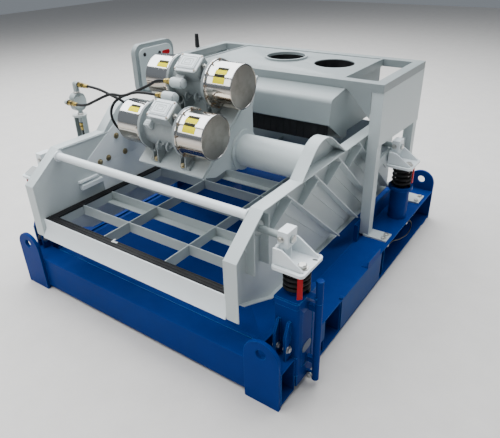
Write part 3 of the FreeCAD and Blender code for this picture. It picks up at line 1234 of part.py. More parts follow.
def gate_lever():
    """Lever outside the left panel, its shaft through panel and tank, and the flap inside the tank."""
    x = GATE_OUTER_X + GATE_HUB / 2
    shaft = rod_x(GATE_OUTER_X, GATE_FLAP_X, GATE_Y, GATE_Z, GATE_SHAFT_RADIUS)
    hub = rod_x(GATE_OUTER_X, GATE_OUTER_X + GATE_HUB, GATE_Y, GATE_Z, GATE_HUB_RADIUS)
    foot = GATE_HUB_RADIUS * 0.64
    head = GATE_HUB_RADIUS * 0.36
    arm = prism_x([(GATE_Y - foot, GATE_Z), (GATE_Y + foot, GATE_Z), (GATE_Y + head, GATE_ARM_TOP),
                   (GATE_Y - head, GATE_ARM_TOP)], x - GATE_PLATE / 2, x + GATE_PLATE / 2)
    tang = block(x - TANG_HALF, x + TANG_HALF, GATE_Y - TANG_HALF, GATE_Y + TANG_HALF, GATE_ARM_TOP - 1,
                 GATE_ARM_TOP + TANG_LENGTH)
    flap = block(-TANK_HALF + FRAME_LIP, GATE_FLAP_X, GATE_Y - FLAP_HALF, GATE_Y + FLAP_HALF,
                 GATE_Z - GATE_FLAP_DROP, GATE_Z)
    return fuse([shaft, hub, arm, tang, flap])


def gate_grip():
    """Tapered eight-sided grip pushed over the lever's tang."""
    x = GATE_OUTER_X + GATE_HUB / 2
    rings = []
    for half, z in ((GRIP_HALF, GATE_ARM_TOP), (GRIP_END_HALF, GATE_GRIP_TOP)):
        corners = [(x + u, GATE_Y + v) for u, v in octagon(half, half, half * 0.58)]
        rings.append(wire(corners, on_z(z)))
    grip = Part.makeLoft(rings, True, True)
    return grip.cut(block(x - TANG_HALF, x + TANG_HALF, GATE_Y - TANG_HALF, GATE_Y + TANG_HALF, GATE_ARM_TOP - 1,
                          GATE_ARM_TOP + TANG_LENGTH))


def control_box():
    """Flat terminal cabinet with round corners, its raised lid and the strut to the rail."""
    x1 = CONTROL_X + CONTROL_THICKNESS
    body = prism_x(frame_of(CONTROL_FRONT, CONTROL_REAR, CONTROL_BOTTOM, CONTROL_TOP, CONTROL_CORNER),
                   CONTROL_X, x1 - CONTROL_LID)
    inset = CONTROL_LID_INSET
    lid = prism_x(frame_of(CONTROL_FRONT + inset, CONTROL_REAR - inset, CONTROL_BOTTOM + inset,
                           CONTROL_TOP - inset, CONTROL_CORNER - inset / 2), x1 - CONTROL_LID, x1)
    middle = (CONTROL_FRONT + CONTROL_REAR) / 2
    wall = CONTROL_STRUT_WALL
    strut_x = CONTROL_X + wall + CONTROL_STRUT / 2
    outer = CONTROL_STRUT / 2
    inner = outer - wall
    strut = prism_z(frame_of(strut_x - outer, strut_x + outer, middle - outer, middle + outer), RAIL_TOP,
                    CONTROL_BOTTOM + 1)
    strut = strut.cut(prism_z(frame_of(strut_x - inner, strut_x + inner, middle - inner, middle + inner),
                              RAIL_TOP - 1, CONTROL_BOTTOM - outer))
    base = block(strut_x - CONTROL_STRUT, strut_x + CONTROL_STRUT, middle - CONTROL_STRUT, middle + CONTROL_STRUT,
                 RAIL_TOP, RAIL_TOP + FOOT_PLATE)
    return fuse([body, strut, base]), lid


def conduit_post():
    """Shallow channel on the left rail, open to the front, capped by a disc."""
    x0 = CONDUIT_X - CONDUIT_WIDTH / 2
    x1 = CONDUIT_X + CONDUIT_WIDTH / 2
    y0 = CONDUIT_Y + CONDUIT_FRONT
    y1 = CONDUIT_Y + CONDUIT_BACK
    wall = CONDUIT_WALL
    channel = [(x0, y0), (x0 + wall, y0), (x0 + wall, y1 - wall), (x1 - wall, y1 - wall), (x1 - wall, y0),
               (x1, y0), (x1, y1), (x0, y1)]
    post = prism_z(channel, RAIL_TOP, CAP_TOP - CAP_THICKNESS)
    base = block(x0 - wall, x1 + wall, y0 - CONDUIT_BACK, y1 + CONDUIT_BACK, RAIL_TOP, RAIL_TOP + CONDUIT_BASE)
    cap = rod_z(CAP_TOP - CAP_THICKNESS, CAP_TOP, CONDUIT_X, CONDUIT_Y, CAP_RADIUS)
    sleeve = rod_z(CAP_TOP - DROP_SLEEVE - CAP_THICKNESS, CAP_TOP - 1, CONDUIT_X + DROP_X, DROP_Y, DROP_RADIUS)
    return fuse([post, base, cap, sleeve])


def conduit_fittings():
    """Nipple, flat conduit body, elbow above it, and the branch that turns out in front of it."""
    x = CONDUIT_X + ELBOW_X
    start = CONDUIT_X + BODY_START
    y = CONDUIT_Y
    radius = ELBOW_RADIUS
    nipple = rod_z(CAP_TOP, BODY_BOTTOM + NIPPLE_RADIUS, CONDUIT_X + NIPPLE_RADIUS, y, NIPPLE_RADIUS)
    body = prism_x(frame_of(y - BODY_HALF, y + BODY_HALF, BODY_BOTTOM, BODY_TOP, BODY_CORNER), start,
                   start + BODY_DEPTH)
    neck = rod_z(BODY_TOP - radius, ELBOW_Z, x - radius / 2, y, radius)
    crown = Part.makeSphere(radius, V(x - radius / 2, y, ELBOW_Z))
    branch = rod_x(x - radius / 2, x + FITTING_GAP, y, ELBOW_Z, NIPPLE_RADIUS)
    out_x = CONDUIT_X + BRANCH_X
    out = rod_y(BRANCH_Y, y - BODY_HALF + radius, out_x, BRANCH_Z, NIPPLE_RADIUS)
    heel = Part.makeSphere(NIPPLE_RADIUS, V(out_x, BRANCH_Y, BRANCH_Z))
    turn = rod_x(out_x, out_x + FITTING_GAP, BRANCH_Y, BRANCH_Z, NIPPLE_RADIUS)
    return fuse([nipple, body, neck, crown, branch, out, heel, turn])


def long_gland(x, y, z, length):
    """Sealing gland pointing to +X: wide nut and narrower neck."""
    nut = hexagon(V(x, y, z), V(1, 0, 0), FITTING_AF, length / 2)
    neck = hexagon(V(x, y, z), V(1, 0, 0), FITTING_AF - 4, length)
    return fuse([nut, neck])


def conduit_glands():
    """Glands at the elbow and the branch, the one under the cap and the one at the post's foot."""
    top = long_gland(CONDUIT_X + ELBOW_X + FITTING_GAP, CONDUIT_Y, ELBOW_Z, TOP_GLAND_LENGTH)
    side = long_gland(CONDUIT_X + BRANCH_X + FITTING_GAP, BRANCH_Y, BRANCH_Z, SIDE_GLAND_LENGTH)
    x = CONDUIT_X + DROP_X
    low = hexagon(V(x, DROP_Y, CAP_TOP - CAP_THICKNESS - DROP_SLEEVE), V(0, 0, -1), FITTING_AF, DROP_GLAND)
    root = hexagon(V(x, DROP_Y, RAIL_TOP + CONDUIT_BASE), V(0, 0, 1), FITTING_AF, ROOT_GLAND)
    return [top, side, low, root]


def earth_lugs():
    """Two lugs under the right rail's top flange for the ends of the earth lead."""
    x = HALF_WIDTH - EARTH_INSET
    lugs = []
    for y0 in (EARTH_START - EARTH_LUG, EARTH_END - EARTH_LUG):
        lugs.append(block(x - EARTH_LUG_HALF, HALF_WIDTH, y0, y0 + EARTH_LUG, EARTH_HEIGHT - EARTH_LUG_HALF,
                          RAIL_TOP - RAIL_WALL))
    return lugs


def frame_bolts():
    """Bolt heads on the ears, foot plates and jack lugs, right side."""
    heads = []
    y = BEAM_REAR - EAR_REACH / 2
    for offset in EAR_OFFSETS:
        x = POST_X + offset + EAR_THICKNESS
        heads.append(hexagon(V(x, y, EAR_BOLT_Z), V(1, 0, 0), BOLT_AF, BOLT_HEAD))
        heads.append(hexagon(V(POST_X + offset, y, EAR_BOLT_Z), V(-1, 0, 0), BOLT_AF, BOLT_HEAD))
    top = RAIL_TOP + FOOT_PLATE
    x = FOOT_PLATE_END - BOLT_AF
    for y0, span in ((FEED_FRONT + TANK_WALL, FOOT_PLATE_FRONT), (FEED_REAR - LEG_WIDTH, FOOT_PLATE_REAR)):
        for y in (y0 + span[0] + BOLT_AF, y0 + span[1] - BOLT_AF):
            heads.append(hexagon(V(x, y, top), V(0, 0, 1), BOLT_AF, BOLT_HEAD))
    return heads


def cord(points, radius):
    """Tube along straight runs joined by tangent arcs as large as the runs allow."""
    corners = [V(*point) for point in points]
    edges = []
    start = corners[0]
    radii = []
    for before, here, after in zip(corners, corners[1:], corners[2:]):
        back = (before - here)
        ahead = (after - here)
        shorter = min(back.Length, ahead.Length)
        back.normalize()
        ahead.normalize()
        turn = math.pi - back.getAngle(ahead)
        reach = 0.45 * shorter
        arc_radius = reach / math.tan(turn / 2)
        radii.append(round(arc_radius))
        bisector = (back + ahead).normalize()
        depth = arc_radius / math.cos(turn / 2) - arc_radius
        entry = here + back * reach
        leave = here + ahead * reach
        edges.append(Part.LineSegment(start, entry).toShape())
        edges.append(Part.Arc(entry, here + bisector * depth, leave).toShape())
        start = leave
    edges.append(Part.LineSegment(start, corners[-1]).toShape())
    path = Part.Wire(edges)
    direction = corners[1] - corners[0]
    profile = Part.Wire([Part.makeCircle(radius, corners[0], direction)])
    tube = path.makePipeShell([profile], True, True)
    length = path.Length
    print("cord length", round(length), "radii", radii, "volume ratio",
          round(tube.Volume / (math.pi * radius ** 2 * length), 4))
    return tube


def gland_end(index):
    """Far end of a motor's cable gland; the front motor is built the other way round."""
    side = 1 if index else -1
    y, z = saddle_point(MOTOR_SPACING * index + side * GLAND_S, GLAND_N)
    return BOSS_START - GLAND_LENGTH, y, z


def rear_motor_route():
    """From the elbow's gland, down in a loop behind the front motor, up to the rear motor."""
    x, y, z = gland_end(1)
    left = CONDUIT_X + ELBOW_X + FITTING_GAP + TOP_GLAND_LENGTH
    return [(left, CONDUIT_Y, ELBOW_Z), (left + 81, CONDUIT_Y, ELBOW_Z), (-500, 522, 1074), (-428, 545, 1042),
            (-368, 562, 985), (-355, 555, 920), (-395, 540, 868), (-462, 522, 872), (-505, 508, 925),
            (-508, 500, 985), (-470, 500, 1045), (-405, 505, 1086), (-330, 512, 1112), (-262, 528, 1142),
            (x - 102, y - 2, z - 30), (x - 47, y, z), (x, y, z)]


def front_motor_route():
    """From the branch's gland, rising in front of the conduit body, to the front motor."""
    x, y, z = gland_end(0)
    left = CONDUIT_X + BRANCH_X + FITTING_GAP + SIDE_GLAND_LENGTH
    return [(left, BRANCH_Y, BRANCH_Z), (left + 65, BRANCH_Y, BRANCH_Z), (-575, 460, 1048), (-500, 462, 1082),
            (-430, 464, 1108), (-345, 464, 1104), (-262, 466, 1138), (x - 62, y, z), (x, y, z)]


def conduit_route():
    """Nearly straight down inside the channel to the gland at its foot."""
    x = CONDUIT_X + DROP_X
    top = CAP_TOP - CAP_THICKNESS - DROP_SLEEVE - DROP_GLAND
    bottom = RAIL_TOP + CONDUIT_BASE + ROOT_GLAND
    points = [(x, DROP_Y, top)]
    for index, wave in enumerate((0, -1, 1, 0)):
        share = (index + 0.9) / 4.8
        points.append((x + wave * CABLE_WAVE, DROP_Y - abs(wave) * CABLE_WAVE, top + (bottom - top) * share))
    return points + [(x, DROP_Y, bottom)]


def earth_route():
    """Out of the first lug, sagging along the rail, round and back up to the second lug."""
    x = HALF_WIDTH - EARTH_INSET
    out = HALF_WIDTH + EARTH_RADIUS
    return [(x, EARTH_START, EARTH_HEIGHT), (x, EARTH_START + 58, EARTH_HEIGHT), (out - 2, 1372, 170),
            (out, 1455, 142), (out, 1535, 119), (out, 1597, 111), (out, 1638, 131), (out - 1, 1634, 172),
            (x, EARTH_END + 42, EARTH_HEIGHT), (x, EARTH_END, EARTH_HEIGHT)]


def main():
    os.makedirs("parts", exist_ok=True)
    save("front_beam", [beam(BEAM_FRONT, HALF_WIDTH)])
    save("rear_beam", [beam(REAR_BEAM_FRONT, WEB_INNER)])
    right = rail()
    save("right_rail", [right])
    save("left_rail", [mirrored(right)])
    save("rail_panels", rail_panels())
    save("mud_pan", [mud_pan()])
    save("lifting_lugs", lifting_lugs())
    post = front_post()
    save("right_front_post", [post])
    save("left_front_post", [mirrored(post)])
    save("rear_posts", both_sides([rear_post()]))
    save("jack_bodies", both_sides([jack_body()]))
    save("jack_rods", both_sides([jack_rod()]))
    save("lift_columns", both_sides([lift_column()]))
    front_spring = spring(POST_X, FRONT_PIVOT_Y, SEAT_TOP, FRONT_PLATE_TOP - PLATE_THICKNESS - SEAT_GAP)
    rear_spring = spring(REAR_POST_X, REAR_PIVOT_Y, REAR_CUP_TOP, REAR_PLATE_TOP - PLATE_THICKNESS - SEAT_GAP)
    save("front_springs", both_sides([front_spring]))
    save("rear_springs", both_sides([rear_spring]))
    save("front_brackets", both_sides([bracket(POST_X, FRONT_PIVOT_Y, FRONT_PLATE_TOP)]))
    save("rear_brackets", both_sides([bracket(REAR_POST_X, REAR_PIVOT_Y, REAR_PLATE_TOP)]))
    save("front_bracket_bolts", both_sides(bracket_bolts(POST_X, FRONT_PIVOT_Y, FRONT_PLATE_TOP)))
    save("rear_bracket_bolts", both_sides(bracket_bolts(REAR_POST_X, REAR_PIVOT_Y, REAR_PLATE_TOP)))
    save("pivot_pins", both_sides([pivot_pin(POST_X, FRONT_PIVOT_Y, FRONT_PLATE_TOP),
                                   pivot_pin(REAR_POST_X, REAR_PIVOT_Y, REAR_PLATE_TOP)]))
    plate = side_plate()
    save("right_side_plate", [plate])
    save("left_side_plate", [mirrored(plate)])
    save("side_ribs", both_sides(side_ribs()))
    save("front_tube", [front_tube()])
    save("torque_tube", [tube_between(WALL_INNER, TORQUE_Y, TORQUE_Z, TORQUE_RADIUS, TORQUE_WALL)])
    save("motor_saddle", [motor_saddle()])
    save("deck_grid", deck_grid())
    save("deck_seal", [deck_seal()])
    save("discharge_lip", [discharge_lip()])
    save("back_plate", [back_plate()])
    save("wear_plates", both_sides(wear_plates()))
    save("basket_bolts", both_sides(basket_bolts()))
    housing = motor_housing()
    lid = motor_lid()
    cover = motor_cover()
    bearing = motor_bearing()
    covers = [cover, mirrored(cover)]
    bearings = [bearing, mirrored(bearing)]
    save("front_motor_housing", [placed_motor(housing.mirror(V(0, 0, 0), V(0, 1, 0)), 0)])
    save("rear_motor_housing", [placed_motor(housing, 1)])
    save("motor_covers", [placed_motor(shape, index) for index in (0, 1) for shape in covers])
    save("motor_box_lids", [placed_motor(lid.mirror(V(0, 0, 0), V(0, 1, 0)), 0), placed_motor(lid, 1)])
    save("motor_bearings", [placed_motor(shape, index) for index in (0, 1) for shape in bearings])
    save("motor_glands", [placed_motor(gland(), 1),
                          placed_motor(gland().mirror(V(0, 0, 0), V(0, 1, 0)), 0)])
    save("front_motor_rotor", rotor(0))
    save("rear_motor_rotor", rotor(1))
    save("feed_box_frame", [feed_frame()])
    save("feed_tank", [feed_tank()])
    save("feed_box_legs", feed_legs())
    save("feed_end_panels", end_panels())
    save("feed_curtain", [feed_curtain()])
    save("gate_lever", [gate_lever()])
    save("gate_grip", [gate_grip()])
    cabinet, cabinet_lid = control_box()
    save("control_box", [cabinet])
    save("control_box_lid", [cabinet_lid])
    save("conduit_post", [conduit_post(), conduit_fittings()])
    save("conduit_glands", conduit_glands())
    save("frame_bolts", both_sides(frame_bolts()))
    save("earth_lugs", earth_lugs())
    save("rear_motor_cable", [cord(rear_motor_route(), CABLE_RADIUS)])
    save("front_motor_cable", [cord(front_motor_route(), CABLE_RADIUS)])
    save("conduit_cable", [cord(conduit_route(), CABLE_RADIUS)])
    save("earth_lead", [cord(earth_route(), EARTH_RADIUS)])


main()
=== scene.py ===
import json
import math
import random

import bmesh
import bpy
from mathutils import Matrix, Vector


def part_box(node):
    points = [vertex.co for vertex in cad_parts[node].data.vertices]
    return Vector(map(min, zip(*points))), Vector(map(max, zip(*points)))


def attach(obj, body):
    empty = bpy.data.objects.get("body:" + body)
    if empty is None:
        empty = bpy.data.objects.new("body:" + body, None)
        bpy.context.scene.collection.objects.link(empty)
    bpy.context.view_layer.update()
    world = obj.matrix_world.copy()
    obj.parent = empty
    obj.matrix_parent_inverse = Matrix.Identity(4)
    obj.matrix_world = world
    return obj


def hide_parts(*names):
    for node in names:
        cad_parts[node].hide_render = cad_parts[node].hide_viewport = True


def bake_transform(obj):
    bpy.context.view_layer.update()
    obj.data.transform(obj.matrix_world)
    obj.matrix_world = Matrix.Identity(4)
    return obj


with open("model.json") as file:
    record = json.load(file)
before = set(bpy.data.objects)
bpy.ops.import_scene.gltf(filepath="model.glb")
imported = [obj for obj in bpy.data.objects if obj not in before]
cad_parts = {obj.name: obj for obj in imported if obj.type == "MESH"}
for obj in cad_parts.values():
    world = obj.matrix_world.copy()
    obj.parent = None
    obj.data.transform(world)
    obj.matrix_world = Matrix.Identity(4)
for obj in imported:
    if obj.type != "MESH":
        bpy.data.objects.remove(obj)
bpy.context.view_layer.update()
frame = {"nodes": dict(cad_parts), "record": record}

# Metres. X is right, Y runs from the discharge end to the feed box, Z is up. Heights and sideways
# places are absolute; lengthwise places are measured from the front face of the lifting lugs.
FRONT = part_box("lifting_lugs")[0].y

CAMERA_PLACE = (1.677, -1.267, 1.794)
CAMERA_YAW = math.radians(35.42)
CAMERA_PITCH = math.radians(-29.13)
CAMERA_ROLL = math.radians(-1.53)
CAMERA_LENS = 35.87


def at(x, y, z):
    """A point given by its distance behind the front lug face."""
    return Vector((x, FRONT + y, z))


def camera():
    look = Vector((-math.sin(CAMERA_YAW) * math.cos(CAMERA_PITCH),
                   math.cos(CAMERA_YAW) * math.cos(CAMERA_PITCH), math.sin(CAMERA_PITCH)))
    level = Vector((math.cos(CAMERA_YAW), math.sin(CAMERA_YAW), 0))
    above = level.cross(look)
    right = level * math.cos(CAMERA_ROLL) + above * math.sin(CAMERA_ROLL)
    up = above * math.cos(CAMERA_ROLL) - level * math.sin(CAMERA_ROLL)
    data = bpy.data.cameras.new("camera")
    data.sensor_width = 36.0
    data.lens = CAMERA_LENS
    data.clip_end = 60.0
    holder = bpy.data.objects.new("camera", data)
    bpy.context.scene.collection.objects.link(holder)
    place = Matrix((right, up, -look)).transposed().to_4x4()
    place.translation = at(*CAMERA_PLACE)
    holder.matrix_world = place
    bpy.context.scene.camera = holder


camera()


# Node helpers

def new_group(name, inputs, outputs):
    """Shader node group with named sockets; each input is (name, kind, default)."""
    tree = bpy.data.node_groups.new(name, "ShaderNodeTree")
    for label, kind, default in inputs:
        socket = tree.interface.new_socket(name=label, in_out="INPUT", socket_type="NodeSocket" + kind)
        if default is not None:
            socket.default_value = default
    for label, kind in outputs:
        tree.interface.new_socket(name=label, in_out="OUTPUT", socket_type="NodeSocket" + kind)
    return tree, tree.nodes.new("NodeGroupInput"), tree.nodes.new("NodeGroupOutput")


def node(tree, kind, **settings):
    made = tree.nodes.new("ShaderNode" + kind)
    for key, value in settings.items():
        setattr(made, key, value)
    return made


def plug(tree, source, target):
    """Link an output socket to an input, or set the input to a value."""
    if isinstance(source, bpy.types.NodeSocket):
        tree.links.new(source, target)
    else:
        target.default_value = source


def maths(tree, operation, first, second=0.0, clamp=False):
    made = node(tree, "Math", operation=operation, use_clamp=clamp)
    plug(tree, first, made.inputs[0])
    plug(tree, second, made.inputs[1])
    return made.outputs[0]


def ramp(tree, value, low, high, to_low=0.0, to_high=1.0):
    made = node(tree, "MapRange", interpolation_type="SMOOTHSTEP")
    plug(tree, value, made.inputs["Value"])
    made.inputs["From Min"].default_value = low
    made.inputs["From Max"].default_value = high
    made.inputs["To Min"].default_value = to_low
    made.inputs["To Max"].default_value = to_high
    return made.outputs["Result"]


def blend_colour(tree, share, first, second, mode="MIX"):
    made = node(tree, "Mix", data_type="RGBA", blend_type=mode)
    plug(tree, share, made.inputs[0])
    plug(tree, first, made.inputs[6])
    plug(tree, second, made.inputs[7])
    return made.outputs[2]


def noise(tree, place, scale, detail=3.0, roughness=0.5, stretch=None):
    if stretch:
        mapping = node(tree, "Mapping")
        mapping.inputs["Scale"].default_value = stretch
        plug(tree, place, mapping.inputs["Vector"])
        place = mapping.outputs[0]
    made = node(tree, "TexNoise")
    made.inputs["Scale"].default_value = scale
    made.inputs["Detail"].default_value = detail
    made.inputs["Roughness"].default_value = roughness
    plug(tree, place, made.inputs["Vector"])
    return made.outputs["Fac"]


def object_place(tree):
    return node(tree, "TexCoord").outputs["Object"]


def paint_group():
    """Sprayed enamel: uneven tone, orange peel, edges lightened partly as scuffing and partly as a painted highlight,
    dust on what faces up and in specks.
    """
    tree, given, result = new_group(
        "sprayed_enamel",
        [("Colour", "Color", None), ("Dust colour", "Color", None), ("Dust", "Float", 0.3),
         ("Worn and highlit edge colour", "Color", None), ("Worn and highlit edges", "Float", 0.4), ("Tone spread", "Float", 0.1),
         ("Roughness", "Float", 0.35), ("Peel", "Float", 0.1)],
        [("Colour", "Color"), ("Roughness", "Float"), ("Normal", "Vector")])
    place = object_place(tree)
    broad = noise(tree, place, 2.2, 4.0)
    mottled = noise(tree, place, 14.0, 5.0, 0.6)
    fine = noise(tree, place, 60.0, 6.0, 0.7)
    tone = maths(tree, "ADD", maths(tree, "MULTIPLY", broad, 0.6), maths(tree, "MULTIPLY", mottled, 0.4))
    shift = maths(tree, "MULTIPLY", maths(tree, "SUBTRACT", tone, 0.5), given.outputs["Tone spread"])
    adjust = node(tree, "HueSaturation")
    plug(tree, maths(tree, "ADD", shift, 1.0), adjust.inputs["Value"])
    plug(tree, given.outputs["Colour"], adjust.inputs["Color"])
    facing_up = node(tree, "SeparateXYZ")
    surface = node(tree, "NewGeometry").outputs["Normal"]
    plug(tree, surface, facing_up.inputs[0])
    up = ramp(tree, facing_up.outputs["Z"], 0.55, 0.98)
    patches = ramp(tree, noise(tree, place, 7.0, 6.0, 0.65), 0.42, 0.75)
    specks = ramp(tree, fine, 0.62, 0.74)
    dusty = maths(tree, "MAXIMUM", maths(tree, "MULTIPLY", up, patches), maths(tree, "MULTIPLY", specks, 0.35))
    dust = maths(tree, "MULTIPLY", dusty, given.outputs["Dust"], clamp=True)
    # The bevel normal finds the edges, which take the edge colour: partly scuffing, partly a painted highlight along
    # the edges.
    rounded = node(tree, "Bevel", samples=4)
    rounded.inputs["Radius"].default_value = 0.0035
    match = node(tree, "VectorMath", operation="DOT_PRODUCT")
    plug(tree, rounded.outputs[0], match.inputs[0])
    plug(tree, surface, match.inputs[1])
    rim = ramp(tree, match.outputs["Value"], 0.80, 0.99, 1.0, 0.0)
    scuffed_and_highlit_rim = maths(tree, "MULTIPLY", rim, maths(tree, "ADD", maths(tree, "MULTIPLY", mottled, 0.8), 0.3))
    worn_and_highlit = maths(tree, "MULTIPLY", scuffed_and_highlit_rim, given.outputs["Worn and highlit edges"], clamp=True)
    edged = blend_colour(tree, worn_and_highlit, adjust.outputs[0], given.outputs["Worn and highlit edge colour"])
    plug(tree, blend_colour(tree, dust, edged, given.outputs["Dust colour"]), result.inputs["Colour"])
    rough = maths(tree, "ADD", given.outputs["Roughness"],
                  maths(tree, "ADD", maths(tree, "MULTIPLY", dust, 0.35),
                        maths(tree, "MULTIPLY", maths(tree, "SUBTRACT", mottled, 0.5), 0.14)), clamp=True)
    plug(tree, rough, result.inputs["Roughness"])
    bump = node(tree, "Bump")
    bump.inputs["Distance"].default_value = 0.0004
    plug(tree, given.outputs["Peel"], bump.inputs["Strength"])
    plug(tree, noise(tree, place, 260.0, 2.0), bump.inputs["Height"])
    plug(tree, bump.outputs[0], result.inputs["Normal"])
    return tree


def grain_group():
    """Rolled, brushed or spun metal: fine lines one way, cloudy stains, and a painted reflection of the ground that
    tints what faces down.
    """
    tree, given, result = new_group(
        "metal_grain",
        [("Colour", "Color", None), ("Stain colour", "Color", None), ("Stain", "Float", 0.3),
         ("Painted ground reflection colour", "Color", None), ("Painted ground reflection", "Float", 0.0), ("Roughness", "Float", 0.25),
         ("Line depth", "Float", 0.1), ("Line stretch", "Vector", (1, 1, 1))],
        [("Colour", "Color"), ("Roughness", "Float"), ("Normal", "Vector")])
    place = object_place(tree)
    mapping = node(tree, "Mapping")
    plug(tree, place, mapping.inputs["Vector"])
    plug(tree, given.outputs["Line stretch"], mapping.inputs["Scale"])
    lines = noise(tree, mapping.outputs[0], 90.0, 4.0, 0.6)
    clouds = noise(tree, place, 16.0, 6.0, 0.6)
    stain = maths(tree, "MULTIPLY", ramp(tree, clouds, 0.42, 0.72), given.outputs["Stain"], clamp=True)
    facing_up = node(tree, "SeparateXYZ")
    plug(tree, node(tree, "NewGeometry").outputs["Normal"], facing_up.inputs[0])
    # Faces that turn down blend toward a brownish colour: a painted reflection of the ground.
    low = maths(tree, "MULTIPLY", ramp(tree, facing_up.outputs["Z"], -0.25, 0.35, 1.0, 0.0), given.outputs["Painted ground reflection"])
    shaded = blend_colour(tree, low, given.outputs["Colour"], given.outputs["Painted ground reflection colour"])
    plug(tree, blend_colour(tree, stain, shaded, given.outputs["Stain colour"]), result.inputs["Colour"])
    rough = maths(tree, "ADD", given.outputs["Roughness"],
                  maths(tree, "ADD", maths(tree, "MULTIPLY", stain, 0.25),
                        maths(tree, "MULTIPLY", maths(tree, "SUBTRACT", lines, 0.5), 0.12)), clamp=True)
    plug(tree, rough, result.inputs["Roughness"])
    bump = node(tree, "Bump")
    bump.inputs["Distance"].default_value = 0.0003
    plug(tree, given.outputs["Line depth"], bump.inputs["Strength"])
    plug(tree, lines, bump.inputs["Height"])
    plug(tree, bump.outputs[0], result.inputs["Normal"])
    return tree


def grit_group():
    """Moulded rubber, plastic or cast skin: pits and a chalky bloom."""
    tree, given, result = new_group(
        "moulded_skin",
        [("Colour", "Color", None), ("Bloom colour", "Color", None), ("Bloom", "Float", 0.2),
         ("Roughness", "Float", 0.6), ("Pit depth", "Float", 0.3), ("Pit scale", "Float", 400.0)],
        [("Colour", "Color"), ("Roughness", "Float"), ("Normal", "Vector")])
    place = object_place(tree)
    clouds = noise(tree, place, 22.0, 6.0, 0.65)
    bloom = maths(tree, "MULTIPLY", ramp(tree, clouds, 0.4, 0.75), given.outputs["Bloom"], clamp=True)
    plug(tree, blend_colour(tree, bloom, given.outputs["Colour"], given.outputs["Bloom colour"]),
         result.inputs["Colour"])
    plug(tree, maths(tree, "ADD", given.outputs["Roughness"], maths(tree, "MULTIPLY", bloom, 0.3), clamp=True),
         result.inputs["Roughness"])
    pits = node(tree, "TexNoise")
    pits.inputs["Detail"].default_value = 3.0
    plug(tree, given.outputs["Pit scale"], pits.inputs["Scale"])
    plug(tree, place, pits.inputs["Vector"])
    bump = node(tree, "Bump")
    bump.inputs["Distance"].default_value = 0.0005
    plug(tree, given.outputs["Pit depth"], bump.inputs["Strength"])
    plug(tree, pits.outputs["Fac"], bump.inputs["Height"])
    plug(tree, bump.outputs[0], result.inputs["Normal"])
    return tree


PAINT = paint_group()
GRAIN = grain_group()
SKIN = grit_group()


def material(name, effect, sockets, metallic=0.0, coat=0.0, coat_roughness=0.1, specular=0.5):
    """A finish: one effect group with its own values, feeding a Principled shader."""
    made = bpy.data.materials.new(name)
    made.use_nodes = True
    tree = made.node_tree
    shader = tree.nodes["Principled BSDF"]
    shader.inputs["Metallic"].default_value = metallic
    shader.inputs["Coat Weight"].default_value = coat
    shader.inputs["Coat Roughness"].default_value = coat_roughness
    shader.inputs["Specular IOR Level"].default_value = specular
    holder = node(tree, "Group")
    holder.node_tree = effect
    for label, value in sockets.items():
        holder.inputs[label].default_value = value
    plug(tree, holder.outputs["Colour"], shader.inputs["Base Color"])
    plug(tree, holder.outputs["Roughness"], shader.inputs["Roughness"])
    plug(tree, holder.outputs["Normal"], shader.inputs["Normal"])
    return made


def rgb(red, green, blue):
    return (red, green, blue, 1.0)


def enamel(name, colour, edge, dust_colour, dust, spread, roughness, worn_highlit_edges=0.45, peel=0.10, specular=0.4, coat=0.0):
    return material(name, PAINT, {
        "Colour": rgb(*colour), "Worn and highlit edge colour": rgb(*edge), "Worn and highlit edges": worn_highlit_edges, "Dust colour": rgb(*dust_colour),
        "Dust": dust, "Tone spread": spread, "Roughness": roughness, "Peel": peel},
        coat=coat, coat_roughness=0.15, specular=specular)


def metal(name, colour, stained, stain, roughness, stretch=(1.0, 1.0, 1.0), depth=0.1, ground_reflection_colour=None, ground_reflection_share=0.0):
    return material(name, GRAIN, {
        "Colour": rgb(*colour), "Stain colour": rgb(*stained), "Stain": stain,
        "Painted ground reflection colour": rgb(*(ground_reflection_colour or colour)), "Painted ground reflection": ground_reflection_share, "Roughness": roughness,
        "Line depth": depth, "Line stretch": stretch}, metallic=1.0)


def moulding(name, colour, bloomed, bloom, roughness, pit, scale, specular=0.5, coat=0.0):
    return material(name, SKIN, {
        "Colour": rgb(*colour), "Bloom colour": rgb(*bloomed), "Bloom": bloom, "Roughness": roughness,
        "Pit depth": pit, "Pit scale": scale}, coat=coat, coat_roughness=0.25, specular=specular)


